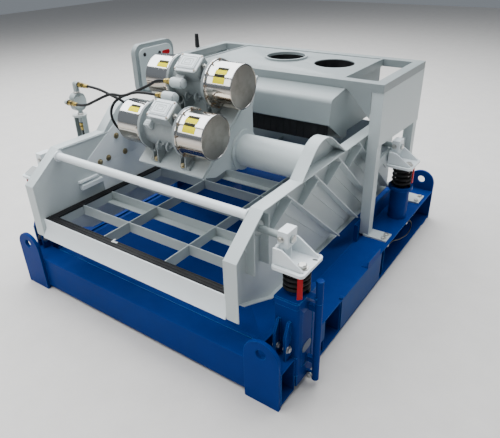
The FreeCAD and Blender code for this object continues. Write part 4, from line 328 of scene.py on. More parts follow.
FINISHES = {
    # The blue enamel's pale blue edge colour, mixed in strongly, is partly scuffing and partly a painted highlight
    # along the edges.
    "blue_paint": enamel("blue_enamel", (0.0, 0.025, 0.172), (0.05, 0.25, 0.56), (0.05, 0.10, 0.22), 0.10, 0.55,
                         0.44, worn_highlit_edges=0.95, specular=0.05),
    "splashed_blue": enamel("splashed_blue_enamel", (0.003, 0.040, 0.175), (0.05, 0.20, 0.46), (0.24, 0.26, 0.27),
                            0.9, 0.7, 0.46, worn_highlit_edges=0.6, specular=0.08),
    "grey_paint": enamel("pale_grey_enamel", (0.52, 0.575, 0.58), (0.78, 0.82, 0.83), (0.42, 0.41, 0.37), 0.12,
                         0.14, 0.34, worn_highlit_edges=0.6, specular=0.4),
    # A lighter copy of the pale grey enamel: painted light on the lip, the spring brackets, the front tube, the wear
    # plates and the terminal box lids.
    "painted_lit_grey": enamel("painted_lit_grey_enamel", (0.80, 0.85, 0.87), (0.92, 0.94, 0.95), (0.45, 0.44, 0.40), 0.10,
                        0.10, 0.32, worn_highlit_edges=0.5, specular=0.5),
    "shop_paint": enamel("dull_grey_enamel", (0.34, 0.385, 0.385), (0.60, 0.65, 0.66), (0.31, 0.30, 0.26), 0.22,
                         0.20, 0.38, worn_highlit_edges=0.7, specular=0.4),
    "feed_paint": enamel("feed_box_enamel", (0.25, 0.285, 0.29), (0.55, 0.60, 0.61), (0.28, 0.27, 0.24), 0.25,
                         0.22, 0.36, worn_highlit_edges=0.8, specular=0.45),
    "white_plate": enamel("blank_white_plate", (0.72, 0.74, 0.72), (0.8, 0.8, 0.8), (0.45, 0.42, 0.36), 0.25,
                          0.1, 0.40, worn_highlit_edges=0.3),
    "dull_plate": enamel("blank_grey_plate", (0.10, 0.125, 0.18), (0.2, 0.24, 0.30), (0.2, 0.2, 0.2), 0.2,
                         0.2, 0.45, worn_highlit_edges=0.3, specular=0.2),
    "motor_paint": moulding("motor_cast_enamel", (0.275, 0.305, 0.31), (0.36, 0.40, 0.405), 0.5, 0.34, 0.35,
                            260.0, specular=0.4),
    "black_rubber": moulding("black_rubber", (0.007, 0.007, 0.008), (0.030, 0.030, 0.030), 0.40, 0.50, 0.25,
                             500.0, specular=0.25),
    "cable_jacket": moulding("cable_jacket", (0.006, 0.006, 0.007), (0.016, 0.016, 0.016), 0.30, 0.42, 0.12,
                             800.0, specular=0.22),
    "black_plastic": moulding("black_plastic", (0.012, 0.012, 0.013), (0.04, 0.04, 0.04), 0.3, 0.38, 0.15,
                              700.0, specular=0.3),
    "red_plastic": moulding("red_plastic", (0.40, 0.003, 0.010), (0.30, 0.006, 0.010), 0.4, 0.45, 0.2, 600.0,
                            specular=0.15),
    "yellow_patch": moulding("plain_yellow_patch", (0.88, 0.76, 0.0), (0.84, 0.70, 0.0), 0.4, 0.6, 0.05,
                             900.0, specular=0.05),
    "dark_patch": moulding("plain_dark_patch", (0.030, 0.030, 0.024), (0.12, 0.11, 0.03), 0.6, 0.7, 0.05,
                           900.0, specular=0.05),
    # The covers and end discs turn brown on faces that look down: a painted reflection of the ground.
    "polished_steel": metal("polished_stainless", (0.78, 0.775, 0.76), (0.60, 0.57, 0.52), 0.30, 0.09,
                            (12.0, 1.0, 1.0), 0.04, ground_reflection_colour=(0.40, 0.33, 0.26), ground_reflection_share=0.9),
    "matt_steel": metal("satin_end_disc", (0.36, 0.335, 0.295), (0.24, 0.225, 0.20), 0.6, 0.46,
                        (1.0, 1.0, 6.0), 0.05, ground_reflection_colour=(0.27, 0.26, 0.24), ground_reflection_share=0.6),
    "zinc_steel": metal("bright_zinc", (0.62, 0.615, 0.59), (0.40, 0.37, 0.30), 0.4, 0.30),
    "yellow_zinc": metal("yellow_zinc", (0.44, 0.37, 0.22), (0.22, 0.16, 0.08), 0.6, 0.32),
    "oiled_steel": metal("oiled_screws", (0.34, 0.27, 0.21), (0.16, 0.11, 0.08), 0.6, 0.34),
    "machined_steel": metal("machined_steel", (0.50, 0.50, 0.50), (0.30, 0.28, 0.25), 0.3, 0.28,
                            (8.0, 1.0, 1.0), 0.2),
    "brass": metal("plated_brass", (0.50, 0.37, 0.10), (0.17, 0.11, 0.04), 0.7, 0.26),
}


# Shape helpers

def finished(name, work, body, slot, material_name=None, smooth=40.0, replaced=()):
    """Turn a bmesh into a piece that rides on a body, in one finish."""
    mesh = bpy.data.meshes.new(name)
    bmesh.ops.recalc_face_normals(work, faces=work.faces)
    work.to_mesh(mesh)
    work.free()
    piece = bpy.data.objects.new(name, mesh)
    bpy.context.scene.collection.objects.link(piece)
    mesh.materials.append(FINISHES[material_name or slot])
    mesh.shade_smooth()
    mesh.set_sharp_from_angle(angle=math.radians(smooth))
    if body:
        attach(piece, body)
    if replaced:
        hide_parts(*replaced)
    return piece


def facing(origin, direction):
    """Place whose Z axis points along a direction."""
    return Matrix.Translation(origin) @ Vector(direction).to_track_quat("Z", "Y").to_matrix().to_4x4()


def lathe(work, profile, place, steps=48):
    """Turned shape: (radius, height) pairs spun about the Z axis of a place."""
    before = set(work.verts)
    verts = [work.verts.new(place @ Vector((radius, 0, height))) for radius, height in profile]
    edges = [work.edges.new(pair) for pair in zip(verts, verts[1:])]
    bmesh.ops.spin(work, geom=verts + edges, cent=place.translation, axis=place.to_3x3() @ Vector((0, 0, 1)),
                   angle=math.tau, steps=steps, use_merge=True)
    fresh = [vert for vert in work.verts if vert not in before]
    bmesh.ops.remove_doubles(work, verts=fresh, dist=0.000005)


def bolt(work, place, across, height):
    """Hexagon head with a chamfered crown on a round washer."""
    washer = across * 0.78
    base = across * 0.11
    radius = across / math.sqrt(3)
    lathe(work, [(0, base), (washer * 0.97, base), (washer, base * 0.6), (washer, 0), (0, 0)], place, 20)
    lathe(work, [(0, height), (radius * 0.82, height), (radius, height - across * 0.08), (radius, base * 0.5),
                 (0, base * 0.5)], place, 6)


def screw(work, place, radius, height):
    """Low round head."""
    lathe(work, [(0, height), (radius * 0.6, height), (radius * 0.92, height * 0.7), (radius, height * 0.3),
                 (radius, 0), (0, 0)], place, 16)


def slab(work, low, high, place=Matrix(), round_by=0.0, segments=2):
    """Box between two corners of a place, its edges rounded."""
    low = Vector(low)
    high = Vector(high)
    size = Matrix.Diagonal((*(high - low), 1.0))
    made = bmesh.ops.create_cube(work, size=1.0, matrix=place @ Matrix.Translation((low + high) / 2) @ size)
    if round_by:
        edges = list({edge for vert in made["verts"] for edge in vert.link_edges})
        bmesh.ops.bevel(work, geom=edges, offset=round_by, offset_type="OFFSET", affect="EDGES",
                        segments=segments, profile=0.5, material=-1)


def thicken(work, face, place, thickness):
    """Pull a flat face up into a closed plate; returns its upper face."""
    made = bmesh.ops.extrude_face_region(work, geom=[face])
    upper = next(item for item in made["geom"] if isinstance(item, bmesh.types.BMFace))
    bmesh.ops.translate(work, verts=upper.verts, vec=place.to_3x3() @ Vector((0, 0, thickness)))
    return upper


def rounded_plate(work, half_u, half_v, corner, thickness, place, segments=6):
    """Flat plate with round corners, standing on a place's XY plane."""
    before = set(work.faces)
    size = Matrix.Diagonal((half_u, half_v, 1.0, 1.0))
    made = bmesh.ops.create_grid(work, x_segments=1, y_segments=1, size=1.0, matrix=place @ size)
    bmesh.ops.bevel(work, geom=made["verts"], offset=corner, offset_type="OFFSET", affect="VERTICES",
                    segments=segments, profile=0.5, material=-1)
    face = next(face for face in work.faces if face not in before)
    return thicken(work, face, place, thickness)


def bead(work, start, end, width=0.0035):
    """Weld bead between two points, swelling and narrowing from ripple to ripple."""
    run = end - start
    count = max(2, int(run.length / WELD_RIPPLE))
    ring = bmesh.ops.create_circle(work, cap_ends=True, segments=6, radius=width, matrix=facing(start, run))
    face = ring["verts"][0].link_faces[0]
    step = run / count
    for index in range(count):
        made = bmesh.ops.extrude_face_region(work, geom=[face])
        face = next(item for item in made["geom"] if isinstance(item, bmesh.types.BMFace))
        bmesh.ops.translate(work, verts=face.verts, vec=step)
        target = width * (0.8 if index % 2 else 1.15) * random.uniform(0.92, 1.08)
        centre = start + step * (index + 1)
        grow = target / (face.verts[0].co - centre).length
        bmesh.ops.scale(work, vec=(grow, grow, grow), space=Matrix.Translation(-centre), verts=face.verts)


def octagon(half_u, half_v, cut):
    return [(-half_u + cut, -half_v), (half_u - cut, -half_v), (half_u, -half_v + cut), (half_u, half_v - cut),
            (half_u - cut, half_v), (-half_u + cut, half_v), (-half_u, half_v - cut), (-half_u, -half_v + cut)]


def slot_of(node_name):
    return next(entry["material_slot"] for entry in frame["record"]["subparts"] if entry["node"] == node_name)


def body_of(node_name):
    bodies = frame["record"]["behaviour"]["bodies"]
    return next(body for body, members in bodies.items() if node_name in members)


# Cords: each route repeats the CAD route, as the control points of one spline

def spline(name, route, thickness):
    data = bpy.data.curves.new(name, "CURVE")
    data.dimensions = "3D"
    line = data.splines.new("NURBS")
    line.points.add(len(route) - 1)
    for point, place in zip(line.points, route):
        point.co = (*at(*place), 1.0)
    line.order_u = 3
    line.use_endpoint_u = True
    line.resolution_u = 12
    data.bevel_depth = thickness
    data.bevel_resolution = 5
    data.use_fill_caps = True
    return data


def mesh_from(curve):
    """The mesh of a curve, or its bare line where it has no bevel."""
    holder = bpy.data.objects.new("route_reader", curve)
    bpy.context.scene.collection.objects.link(holder)
    depsgraph = bpy.context.evaluated_depsgraph_get()
    mesh = bpy.data.meshes.new_from_object(holder.evaluated_get(depsgraph))
    bpy.data.objects.remove(holder)
    return mesh


def motor_cable(name, route):
    """Cable from the conduit to a motor: a tube along its route."""
    path = [tuple(vert.co) for vert in mesh_from(spline(name + "_line", route, 0.0)).vertices]
    mesh = mesh_from(spline(name + "_route", route, CABLE_RADIUS))
    mesh.name = name + "_jacket"
    mesh.materials.clear()
    mesh.materials.append(FINISHES["cable_jacket"])
    mesh.shade_smooth()
    piece = bpy.data.objects.new(name + "_jacket", mesh)
    bpy.context.scene.collection.objects.link(piece)
    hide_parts(name)
    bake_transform(piece)


def fixed_cable(name, route, radius):
    data = spline(name + "_jacket", route, radius)
    data.materials.append(FINISHES["cable_jacket"])
    piece = bpy.data.objects.new(name + "_jacket", data)
    bpy.context.scene.collection.objects.link(piece)
    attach(piece, "skid")
    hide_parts(name)


CABLE_RADIUS = 0.0075
EARTH_RADIUS = 0.004
REAR_MOTOR_ROUTE = [
    (-0.691, 0.520, 1.101), (-0.610, 0.520, 1.101), (-0.500, 0.522, 1.074), (-0.428, 0.545, 1.042),
    (-0.368, 0.562, 0.985), (-0.355, 0.555, 0.920), (-0.395, 0.540, 0.868), (-0.462, 0.522, 0.872),
    (-0.505, 0.508, 0.925), (-0.508, 0.500, 0.985), (-0.470, 0.500, 1.045), (-0.405, 0.505, 1.086),
    (-0.330, 0.512, 1.112), (-0.262, 0.528, 1.142), (-0.205, 0.5335, 1.1689), (-0.150, 0.5355, 1.1989),
    (-0.103, 0.5355, 1.1989)]
FRONT_MOTOR_ROUTE = [
    (-0.733, 0.458, 1.006), (-0.668, 0.458, 1.006), (-0.575, 0.460, 1.048), (-0.500, 0.462, 1.082),
    (-0.430, 0.464, 1.108), (-0.345, 0.464, 1.104), (-0.262, 0.466, 1.138), (-0.165, 0.4682, 1.1453),
    (-0.103, 0.4682, 1.1453)]
CONDUIT_ROUTE = [
    (-0.797, 0.512, 0.830), (-0.797, 0.512, 0.7196), (-0.801, 0.508, 0.5969), (-0.793, 0.508, 0.4741),
    (-0.797, 0.512, 0.3514), (-0.797, 0.512, 0.241)]
EARTH_ROUTE = [
    (0.896, 1.238, 0.203), (0.896, 1.296, 0.203), (0.902, 1.372, 0.170), (0.904, 1.455, 0.142),
    (0.904, 1.535, 0.119), (0.904, 1.597, 0.111), (0.904, 1.638, 0.131), (0.903, 1.634, 0.172),
    (0.896, 1.598, 0.203), (0.896, 1.556, 0.203)]

motor_cable("rear_motor_cable", REAR_MOTOR_ROUTE)
motor_cable("front_motor_cable", FRONT_MOTOR_ROUTE)
fixed_cable("conduit_cable", CONDUIT_ROUTE, CABLE_RADIUS)
fixed_cable("earth_lead", EARTH_ROUTE, EARTH_RADIUS)


# Dressed CAD nodes

def dressed(node_name, edge=0.0015, smooth=32.0, material_name=None):
    """A copy of a CAD node with merged corners and rounded edges, shown in its place."""
    work = bmesh.new()
    work.from_mesh(frame["nodes"][node_name].data)
    bmesh.ops.remove_doubles(work, verts=work.verts, dist=0.00002)
    bmesh.ops.dissolve_limit(work, angle_limit=math.radians(0.5), verts=work.verts, edges=work.edges)
    mesh = bpy.data.meshes.new(node_name + "_finish")
    work.to_mesh(mesh)
    work.free()
    mesh.materials.clear()
    mesh.materials.append(FINISHES[material_name or slot_of(node_name)])
    mesh.shade_smooth()
    mesh.set_sharp_from_angle(angle=math.radians(smooth))
    piece = bpy.data.objects.new(node_name + "_finish", mesh)
    bpy.context.scene.collection.objects.link(piece)
    if edge:
        rounding = piece.modifiers.new("rounded_edges", "BEVEL")
        rounding.width = edge
        rounding.segments = 2
        rounding.limit_method = "ANGLE"
        rounding.angle_limit = math.radians(smooth)
        rounding.harden_normals = True
    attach(piece, body_of(node_name))
    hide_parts(node_name)
    return piece


REMADE = {"rear_motor_cable", "front_motor_cable", "conduit_cable", "earth_lead", "front_springs", "rear_springs",
          "motor_covers", "motor_box_lids", "motor_glands", "conduit_glands", "frame_bolts", "basket_bolts",
          "front_bracket_bolts", "rear_bracket_bolts"}
# Parts given the lighter grey copy carry painted light.
OWN_FINISH = {"rail_panels": "splashed_blue", "feed_tank": "feed_paint", "feed_box_frame": "feed_paint",
              "deck_grid": "shop_paint", "control_box": "feed_paint", "discharge_lip": "painted_lit_grey",
              "front_brackets": "painted_lit_grey", "rear_brackets": "painted_lit_grey", "front_tube": "painted_lit_grey",
              "wear_plates": "painted_lit_grey", "pivot_pins": "shop_paint", "conduit_post": "shop_paint"}
WIDE_EDGES = {"front_beam": 0.003, "rear_beam": 0.003, "left_rail": 0.0022, "right_rail": 0.0022,
              "lifting_lugs": 0.003, "front_brackets": 0.0025, "rear_brackets": 0.0025,
              "feed_box_frame": 0.003, "feed_box_legs": 0.003, "control_box": 0.006}


def dress_all():
    for node_name in sorted(set(frame["nodes"]) - REMADE):
        dressed(node_name, edge=WIDE_EDGES.get(node_name, 0.0015), material_name=OWN_FINISH.get(node_name))


# Springs

SPRING_RADIUS = 0.060
SPRING_WIRE = 0.009
SPRING_TURNS = 4.5
SPRING_CORE = 0.036


def coil(work, centre, bottom, top):
    """Round-wire coil between two heights."""
    reach = SPRING_RADIUS - SPRING_WIRE
    start = Matrix.Translation(centre + Vector((reach, 0, bottom + SPRING_WIRE)))
    ring = bmesh.ops.create_circle(work, cap_ends=True, segments=14, radius=SPRING_WIRE,
                                   matrix=start @ Matrix.Rotation(math.radians(90), 4, "X"))
    edges = list({edge for vert in ring["verts"] for edge in vert.link_edges})
    steps = int(SPRING_TURNS * 36)
    rise = (top - bottom - 2 * SPRING_WIRE) / steps
    turned = bmesh.ops.spin(work, geom=ring["verts"] + edges, cent=centre, axis=(0, 0, 1), dvec=(0, 0, rise),
                            angle=math.tau * SPRING_TURNS, steps=steps, use_merge=False)
    last = [item for item in turned["geom_last"] if isinstance(item, bmesh.types.BMEdge)]
    bmesh.ops.contextual_create(work, geom=last)


def spring_pair(node_name, x, y, bottom, top, clear):
    work = bmesh.new()
    core = bmesh.new()
    for side in (-1, 1):
        coil(work, at(side * x, y, 0), bottom, top)
        place = Matrix.Translation(at(side * x, y, bottom))
        height = top - bottom - clear
        lathe(core, [(0, height), (SPRING_CORE * 0.8, height), (SPRING_CORE, height - 0.01), (SPRING_CORE, 0),
                     (0, 0)], place, 32)
    moving_top = node_name == "rear_springs"
    coils = finished(node_name + "_coils", work, None if moving_top else body_of(node_name), "black_rubber",
                     smooth=80.0, replaced=[node_name])
    if moving_top:
        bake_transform(coils)
    finished(node_name + "_buffers", core, body_of(node_name), "black_rubber")


def springs():
    spring_pair("front_springs", 0.850, 0.222, 0.5053, 0.6338, 0.018)
    spring_pair("rear_springs", 0.815, 1.587, 0.430, 0.5757, 0.026)


# Motors: places are given in the motor's own frame, x along the shaft, y up the saddle, z off it

SADDLE_ANGLE = math.radians(38.5)
MOTOR_SPACING = 0.296
COVER_RADIUS = 0.110
BOSS_PLACE = (0.0, -0.105, 0.106)


def motor_place(index, turned=True):
    """Frame of the front (0) or rear (1) motor; the front one is built the other way round."""
    along = MOTOR_SPACING * index
    origin = at(0, 0.452 + along * math.cos(SADDLE_ANGLE), 0.997 + along * math.sin(SADDLE_ANGLE))
    place = Matrix.Translation(origin) @ Matrix.Rotation(SADDLE_ANGLE, 4, "X")
    if turned and index == 0:
        place = place @ Matrix.Scale(-1, 4, (0, 1, 0))
    return place


def along_x(side):
    """Turn that points a place's Z axis to +X or -X."""
    return Matrix.Rotation(math.radians(90 * side), 4, "Y")


def shell_ends():
    for index in (0, 1):
        for side in (-1, 1):
            yield index, side, motor_place(index, False) @ along_x(side)


def motor_covers():
    """Polished cups with a bolted rim, a fillet, a rolled edge and a satin end disc."""
    cups = bmesh.new()
    discs = bmesh.new()
    bolts = bmesh.new()
    radius = COVER_RADIUS
    outside = [(0, 0.2722), (0.1030, 0.2722), (0.1042, 0.2738), (0.1062, 0.2749), (0.1082, 0.2744),
               (0.1096, 0.2728), (radius, 0.2705), (radius, 0.1335), (0.1107, 0.1300), (0.1128, 0.1272),
               (0.1150, 0.1262), (0.1205, 0.1262), (0.1214, 0.1253), (0.1214, 0.1202)]
    inside = [(0.1080, 0.1202), (0.1080, 0.2640), (0.1010, 0.2700), (0, 0.2700)]
    for index, side, place in shell_ends():
        lathe(cups, outside + inside, place, 96)
        lathe(discs, [(0, 0.2731), (0.1018, 0.2733), (0.1028, 0.2728), (0.1028, 0.2721), (0, 0.2721)], place, 96)
        for step in range(COVER_BOLTS):
            turn = Matrix.Rotation(math.tau * (step + 0.5) / COVER_BOLTS, 4, "Z")
            bolt(bolts, place @ turn @ Matrix.Translation((0.1178, 0, 0.1262)), 0.0080, 0.0052)
    finished("motor_cover_cups", cups, "basket", "polished_steel", replaced=["motor_covers"])
    finished("motor_cover_discs", discs, "basket", "polished_steel", "matt_steel")
    finished("motor_cover_bolts", bolts, "basket", "zinc_steel", "oiled_steel", smooth=30.0)


COVER_BOLTS = 12
YELLOW_PATCHES = [(0, 0.154, 0.227, -7.5, 5.5), (0, 0.156, 0.230, 14.0, 30.5), (1, 0.168, 0.236, 0.0, 11.5),
                  (1, 0.166, 0.234, 20.0, 35.5), (0, -0.219, -0.149, -7.0, 8.0), (1, -0.208, -0.138, 2.0, 14.5)]
DARK_PATCHES = [(0, 0.158, 0.224, -16.0, -8.0), (0, 0.156, 0.222, 6.0, 13.5), (1, 0.174, 0.236, -8.0, -0.6),
                (1, 0.168, 0.230, 12.0, 19.5), (0, -0.215, -0.153, -15.0, -7.5), (1, -0.204, -0.141, -6.0, 1.5)]


def patch(work, index, x0, x1, low, high, lift):
    """Thin sheet wrapped on a cover between two angles from the motor's top."""
    place = motor_place(index, False)
    radius = COVER_RADIUS + lift
    turn = math.radians(low)
    ends = [work.verts.new(place @ Vector((x, -radius * math.sin(turn), radius * math.cos(turn)))) for x in (x0, x1)]
    before = set(work.faces)
    bmesh.ops.spin(work, geom=ends + [work.edges.new(ends)], cent=place.translation,
                   axis=place.to_3x3() @ Vector((1, 0, 0)), angle=math.radians(high - low), steps=6,
                   use_merge=False)
    fresh = [face for face in work.faces if face not in before]
    bmesh.ops.solidify(work, geom=fresh, thickness=0.0003)


def cover_patches():
    for name, patches, finish in (("plain_yellow_patches", YELLOW_PATCHES, "yellow_patch"),
                                  ("plain_dark_strips", DARK_PATCHES, "dark_patch")):
        work = bmesh.new()
        for entry in patches:
            patch(work, *entry, 0.0005)
        finished(name, work, "basket", "polished_steel", finish)


LID_STEPS = [(0.0012, 0.0012), (0.0108, 0.0), (0.0006, -0.0010), (0.0010, 0.0), (0.0012, 0.0068), (0.0008, 0.0008)]


def outline(work, half_u, half_v, corner, width, place):
    """Raised line round a rectangle: a thin plate with a sunken middle."""
    upper = rounded_plate(work, half_u, half_v, corner, 0.0012, place, 3)
    bmesh.ops.recalc_face_normals(work, faces=work.faces)
    bmesh.ops.inset_region(work, faces=[upper], thickness=width, use_even_offset=True)
    bmesh.ops.inset_region(work, faces=[upper], thickness=0.0005, depth=-0.0010, use_even_offset=True)


def terminal_boxes():
    """Stepped lids with embossed outlines and corner screws, gland bosses, lifting eye nuts."""
    lids = bmesh.new()
    lines = bmesh.new()
    screws = bmesh.new()
    slot_shade = bmesh.new()
    bosses = bmesh.new()
    eyes = bmesh.new()
    for index in (0, 1):
        motor = motor_place(index)
        place = motor @ Matrix.Translation((0.022, -0.010, 0.142))
        corners = [lids.verts.new(place @ Vector((u, v, 0))) for u, v in octagon(0.069, 0.051, 0.010)]
        upper = thicken(lids, lids.faces.new(corners), place, 0.0065)
        bmesh.ops.recalc_face_normals(lids, faces=lids.faces)
        for inset, rise in LID_STEPS:
            bmesh.ops.inset_region(lids, faces=[upper], thickness=inset, depth=rise, use_even_offset=True)
        crown = place @ Matrix.Translation((0, 0, 0.0140))
        outline(lines, 0.0490, 0.0320, 0.008, 0.0024, crown)
        outline(lines, 0.0320, 0.0190, 0.004, 0.0022, crown)
        outline(lines, 0.0180, 0.0100, 0.003, 0.0020, crown)
        for u in (-0.0600, 0.0600):
            for v in (-0.0420, 0.0420):
                screw(screws, place @ Matrix.Translation((u, v, 0.0077)), 0.0052, 0.0038)
        # A black strip on the lid stands in for a slot: painted shade of the opening.
        slab(slot_shade, (-0.0655, -0.004, 0.0070), (-0.0615, 0.024, 0.0084), place, 0.0005)
        boss = [(0, -0.0506), (0.020, -0.0506), (0.0245, -0.0490), (0.0263, -0.0445), (0.0263, 0.0140),
                (0.0250, 0.0205), (0.0215, 0.0258), (0.0150, 0.0292), (0.0070, 0.0308), (0, 0.0312)]
        lathe(bosses, boss, motor @ Matrix.Translation(BOSS_PLACE) @ along_x(1), 40)
        nut = motor @ Matrix.Translation((0.0975, 0, 0.1225))
        bolt(eyes, nut, 0.017, 0.010)
        bolt(eyes, motor @ Matrix.Translation((0.091, 0, 0.104)) @ along_x(-1), 0.014, 0.008)
        slab(bosses, (-0.078, 0.034, 0.072), (-0.040, 0.068, 0.106), motor, 0.003)
        for ridge in (0.044, 0.055):
            slab(bosses, (-0.076, ridge, 0.104), (-0.042, ridge + 0.004, 0.1085), motor, 0.001)
    # The lids take the lighter grey copy, painted light; the raised outlines take a darker grey, painted shade along
    # the lines.
    finished("terminal_box_lids", lids, "basket", "motor_paint", "painted_lit_grey", 30.0, ["motor_box_lids"])
    finished("terminal_box_outlines", lines, "basket", "motor_paint", "shop_paint", 30.0)
    finished("terminal_box_screws", screws, "basket", "zinc_steel", "oiled_steel")
    finished("terminal_box_slot_shade", slot_shade, "basket", "black_plastic")
    finished("motor_gland_bosses", bosses, "basket", "motor_paint", "grey_paint")
    finished("motor_eye_bolts", eyes, "basket", "zinc_steel", smooth=30.0)


def motor_feet():
    """Bolts on the foot pads and the round pegs beside the foot ribs."""
    bolts = bmesh.new()
    pegs = bmesh.new()
    for index in (0, 1):
        motor = motor_place(index)
        for x in (-0.112, -0.088, 0.088, 0.112):
            for end in (-1, 1):
                if abs(x) == 0.088:
                    bolt(bolts, motor @ Matrix.Translation((x, end * 0.136, -0.104)), 0.019, 0.013)
                lean = Matrix.Rotation(math.radians(end * -75), 4, "X")
                peg = motor @ Matrix.Translation((x * 1.02, end * 0.088, -0.066)) @ lean
                lathe(pegs, [(0, 0.030), (0.0045, 0.0295), (0.0065, 0.027), (0.0070, 0.022), (0.0070, 0), (0, 0)],
                      peg, 20)
        for x in (-0.012, 0.048):
            hook = motor_place(index, False) @ Matrix.Translation((x, -0.103, 0.004)) @ along_x(1)
            lathe(pegs, [(0.0100, -0.004), (0.0235, -0.004), (0.0250, -0.0025), (0.0250, 0.0025), (0.0235, 0.004),
                         (0.0100, 0.004), (0.0100, -0.004)], hook, 36)
            lathe(pegs, [(0, 0.022), (0.0055, 0.0215), (0.0070, 0.019), (0.0070, -0.002), (0, -0.002)],
                  hook @ Matrix.Translation((0.002, 0.010, 0)), 20)
    finished("motor_foot_bolts", bolts, "basket", "zinc_steel", "yellow_zinc", 30.0)
    finished("motor_foot_pegs", pegs, "basket", "motor_paint")


def gland(brass, black, place, across, length):
    """Sealing gland: black collar, two hexagons with a groove between them, domed cap, rubber throat."""
    wide = across / math.sqrt(3)
    slim = (across - 0.003) / math.sqrt(3)
    lathe(black, [(0, 0.005), (wide * 1.02, 0.005), (wide * 1.06, 0.0035), (wide * 1.06, 0.0002), (0, 0.0002)],
          place, 32)
    first = length * 0.42
    second = length * 0.78
    lathe(brass, [(0, first), (wide * 0.9, first), (wide, first - 0.002), (wide, 0.007), (wide * 0.9, 0.005),
                  (0, 0.005)], place, 6)
    lathe(black, [(0, first + 0.003), (slim * 0.96, first + 0.003), (slim * 0.96, first - 0.001), (0, first - 0.001)],
          place, 32)
    lathe(brass, [(0, second), (slim * 0.9, second), (slim, second - 0.002), (slim, first + 0.005),
                  (slim * 0.9, first + 0.003), (0, first + 0.003)], place, 6)
    lathe(brass, [(0, length), (0.0092, length), (0.0108, length - 0.002), (slim * 0.84, second), (0, second - 0.001)],
          place, 32)
    lathe(black, [(0, length + 0.0015), (0.0086, length + 0.0010), (0.0090, length - 0.001), (0, length - 0.001)],
          place, 24)


def glands():
    brass = bmesh.new()
    black = bmesh.new()
    for index in (0, 1):
        place = motor_place(index) @ Matrix.Translation((-0.050, -0.105, 0.106)) @ along_x(-1)
        gland(brass, black, place, 0.028, 0.053)
    finished("motor_gland_nuts", brass, "basket", "brass", smooth=30.0, replaced=["motor_glands"])
    finished("motor_gland_rings", black, "basket", "black_rubber")
    brass = bmesh.new()
    black = bmesh.new()
    for origin, direction, length in (((-0.772, 0.520, 1.101), (1, 0, 0), 0.081),
                                      ((-0.809, 0.458, 1.006), (1, 0, 0), 0.076),
                                      ((-0.797, 0.512, 0.880), (0, 0, -1), 0.050),
                                      ((-0.797, 0.512, 0.225), (0, 0, 1), 0.016)):
        gland(brass, black, facing(at(*origin), direction), 0.026, length)
    finished("conduit_gland_nuts", brass, "skid", "brass", smooth=30.0, replaced=["conduit_glands"])
    finished("conduit_gland_rings", black, "skid", "black_rubber")


# Basket and skid details

def bolts():
    """Hexagon bolts of the frame, the basket and the spring brackets."""
    ears = bmesh.new()
    basket = bmesh.new()
    front = bmesh.new()
    rear = bmesh.new()
    for side in (-1, 1):
        outward = (side, 0, 0)
        inward = (-side, 0, 0)
        for offset in (-0.038, 0.014):
            bolt(ears, facing(at(side * (0.850 + offset + 0.012), 0.115, 0.262), outward), 0.024, 0.012)
            bolt(ears, facing(at(side * (0.850 + offset), 0.115, 0.262), inward), 0.024, 0.010)
        for y in (1.256, 1.304, 1.839, 1.916):
            bolt(ears, facing(at(side * 0.856, y, 0.227), (0, 0, 1)), 0.024, 0.011)
        bolt(ears, facing(at(side * 0.932, 0.220, 0.052), (0, -1, 0)), 0.022, 0.012)
        for y, z in ((0.608, 0.796), (0.526, 0.683), (0.460, 0.677), (0.657, 0.681), (0.872, 0.796), (0.954, 0.683)):
            bolt(basket, facing(at(side * 0.624, y, z), inward), 0.024, 0.011)
        for index in range(5):
            y = 0.446 + 0.251 * index
            bolt(basket, facing(at(side * 0.641, y, 0.7505), outward), 0.024, 0.011)
        for work, x, y, top in ((front, 0.850, 0.222, 0.650), (rear, 0.815, 1.587, 0.590)):
            bolt(work, facing(at(side * (x + 0.042), y - 0.033, top), (0, 0, 1)), 0.034, 0.018)
            bolt(work, facing(at(side * (x - 0.0590), y - 0.0345, top + 0.0985), (0, -1, 0)), 0.020, 0.009)
            lathe(work, [(0, 0.012), (0.012, 0.012), (0.0165, 0.009), (0.0180, 0.004), (0.0180, 0), (0, 0)],
                  facing(at(side * (x - 0.0285), y + 0.003, top + 0.095), outward), 32)
    finished("frame_bolt_heads", ears, "skid", "zinc_steel", smooth=30.0, replaced=["frame_bolts"])
    finished("basket_bolt_heads", basket, "basket", "zinc_steel", "yellow_zinc", 30.0, ["basket_bolts"])
    finished("front_bracket_bolt_heads", front, "front_brackets", "zinc_steel", smooth=30.0,
             replaced=["front_bracket_bolts"])
    finished("rear_bracket_bolt_heads", rear, "rear_brackets", "zinc_steel", smooth=30.0,
             replaced=["rear_bracket_bolts"])


def travel_strips():
    """Red strips that hang from the outer corners of the spring brackets, over the springs."""
    for name, body, x, y, top, drop, turn in (("front_travel_strips", "front_brackets", 0.905, 0.150, 0.636, 0.116, 45),
                                              ("rear_travel_strips", "rear_brackets", 0.885, 1.577, 0.576, 0.106, 0)):
        work = bmesh.new()
        for side in (-1, 1):
            place = Matrix.Translation(at(side * x, y, top)) @ Matrix.Rotation(math.radians(-turn * side), 4, "Z")
            slab(work, (-0.003, -0.012, -drop), (0.003, 0.012, 0.0005), place, 0.0025, 3)
        finished(name, work, body, "black_plastic", "red_plastic")


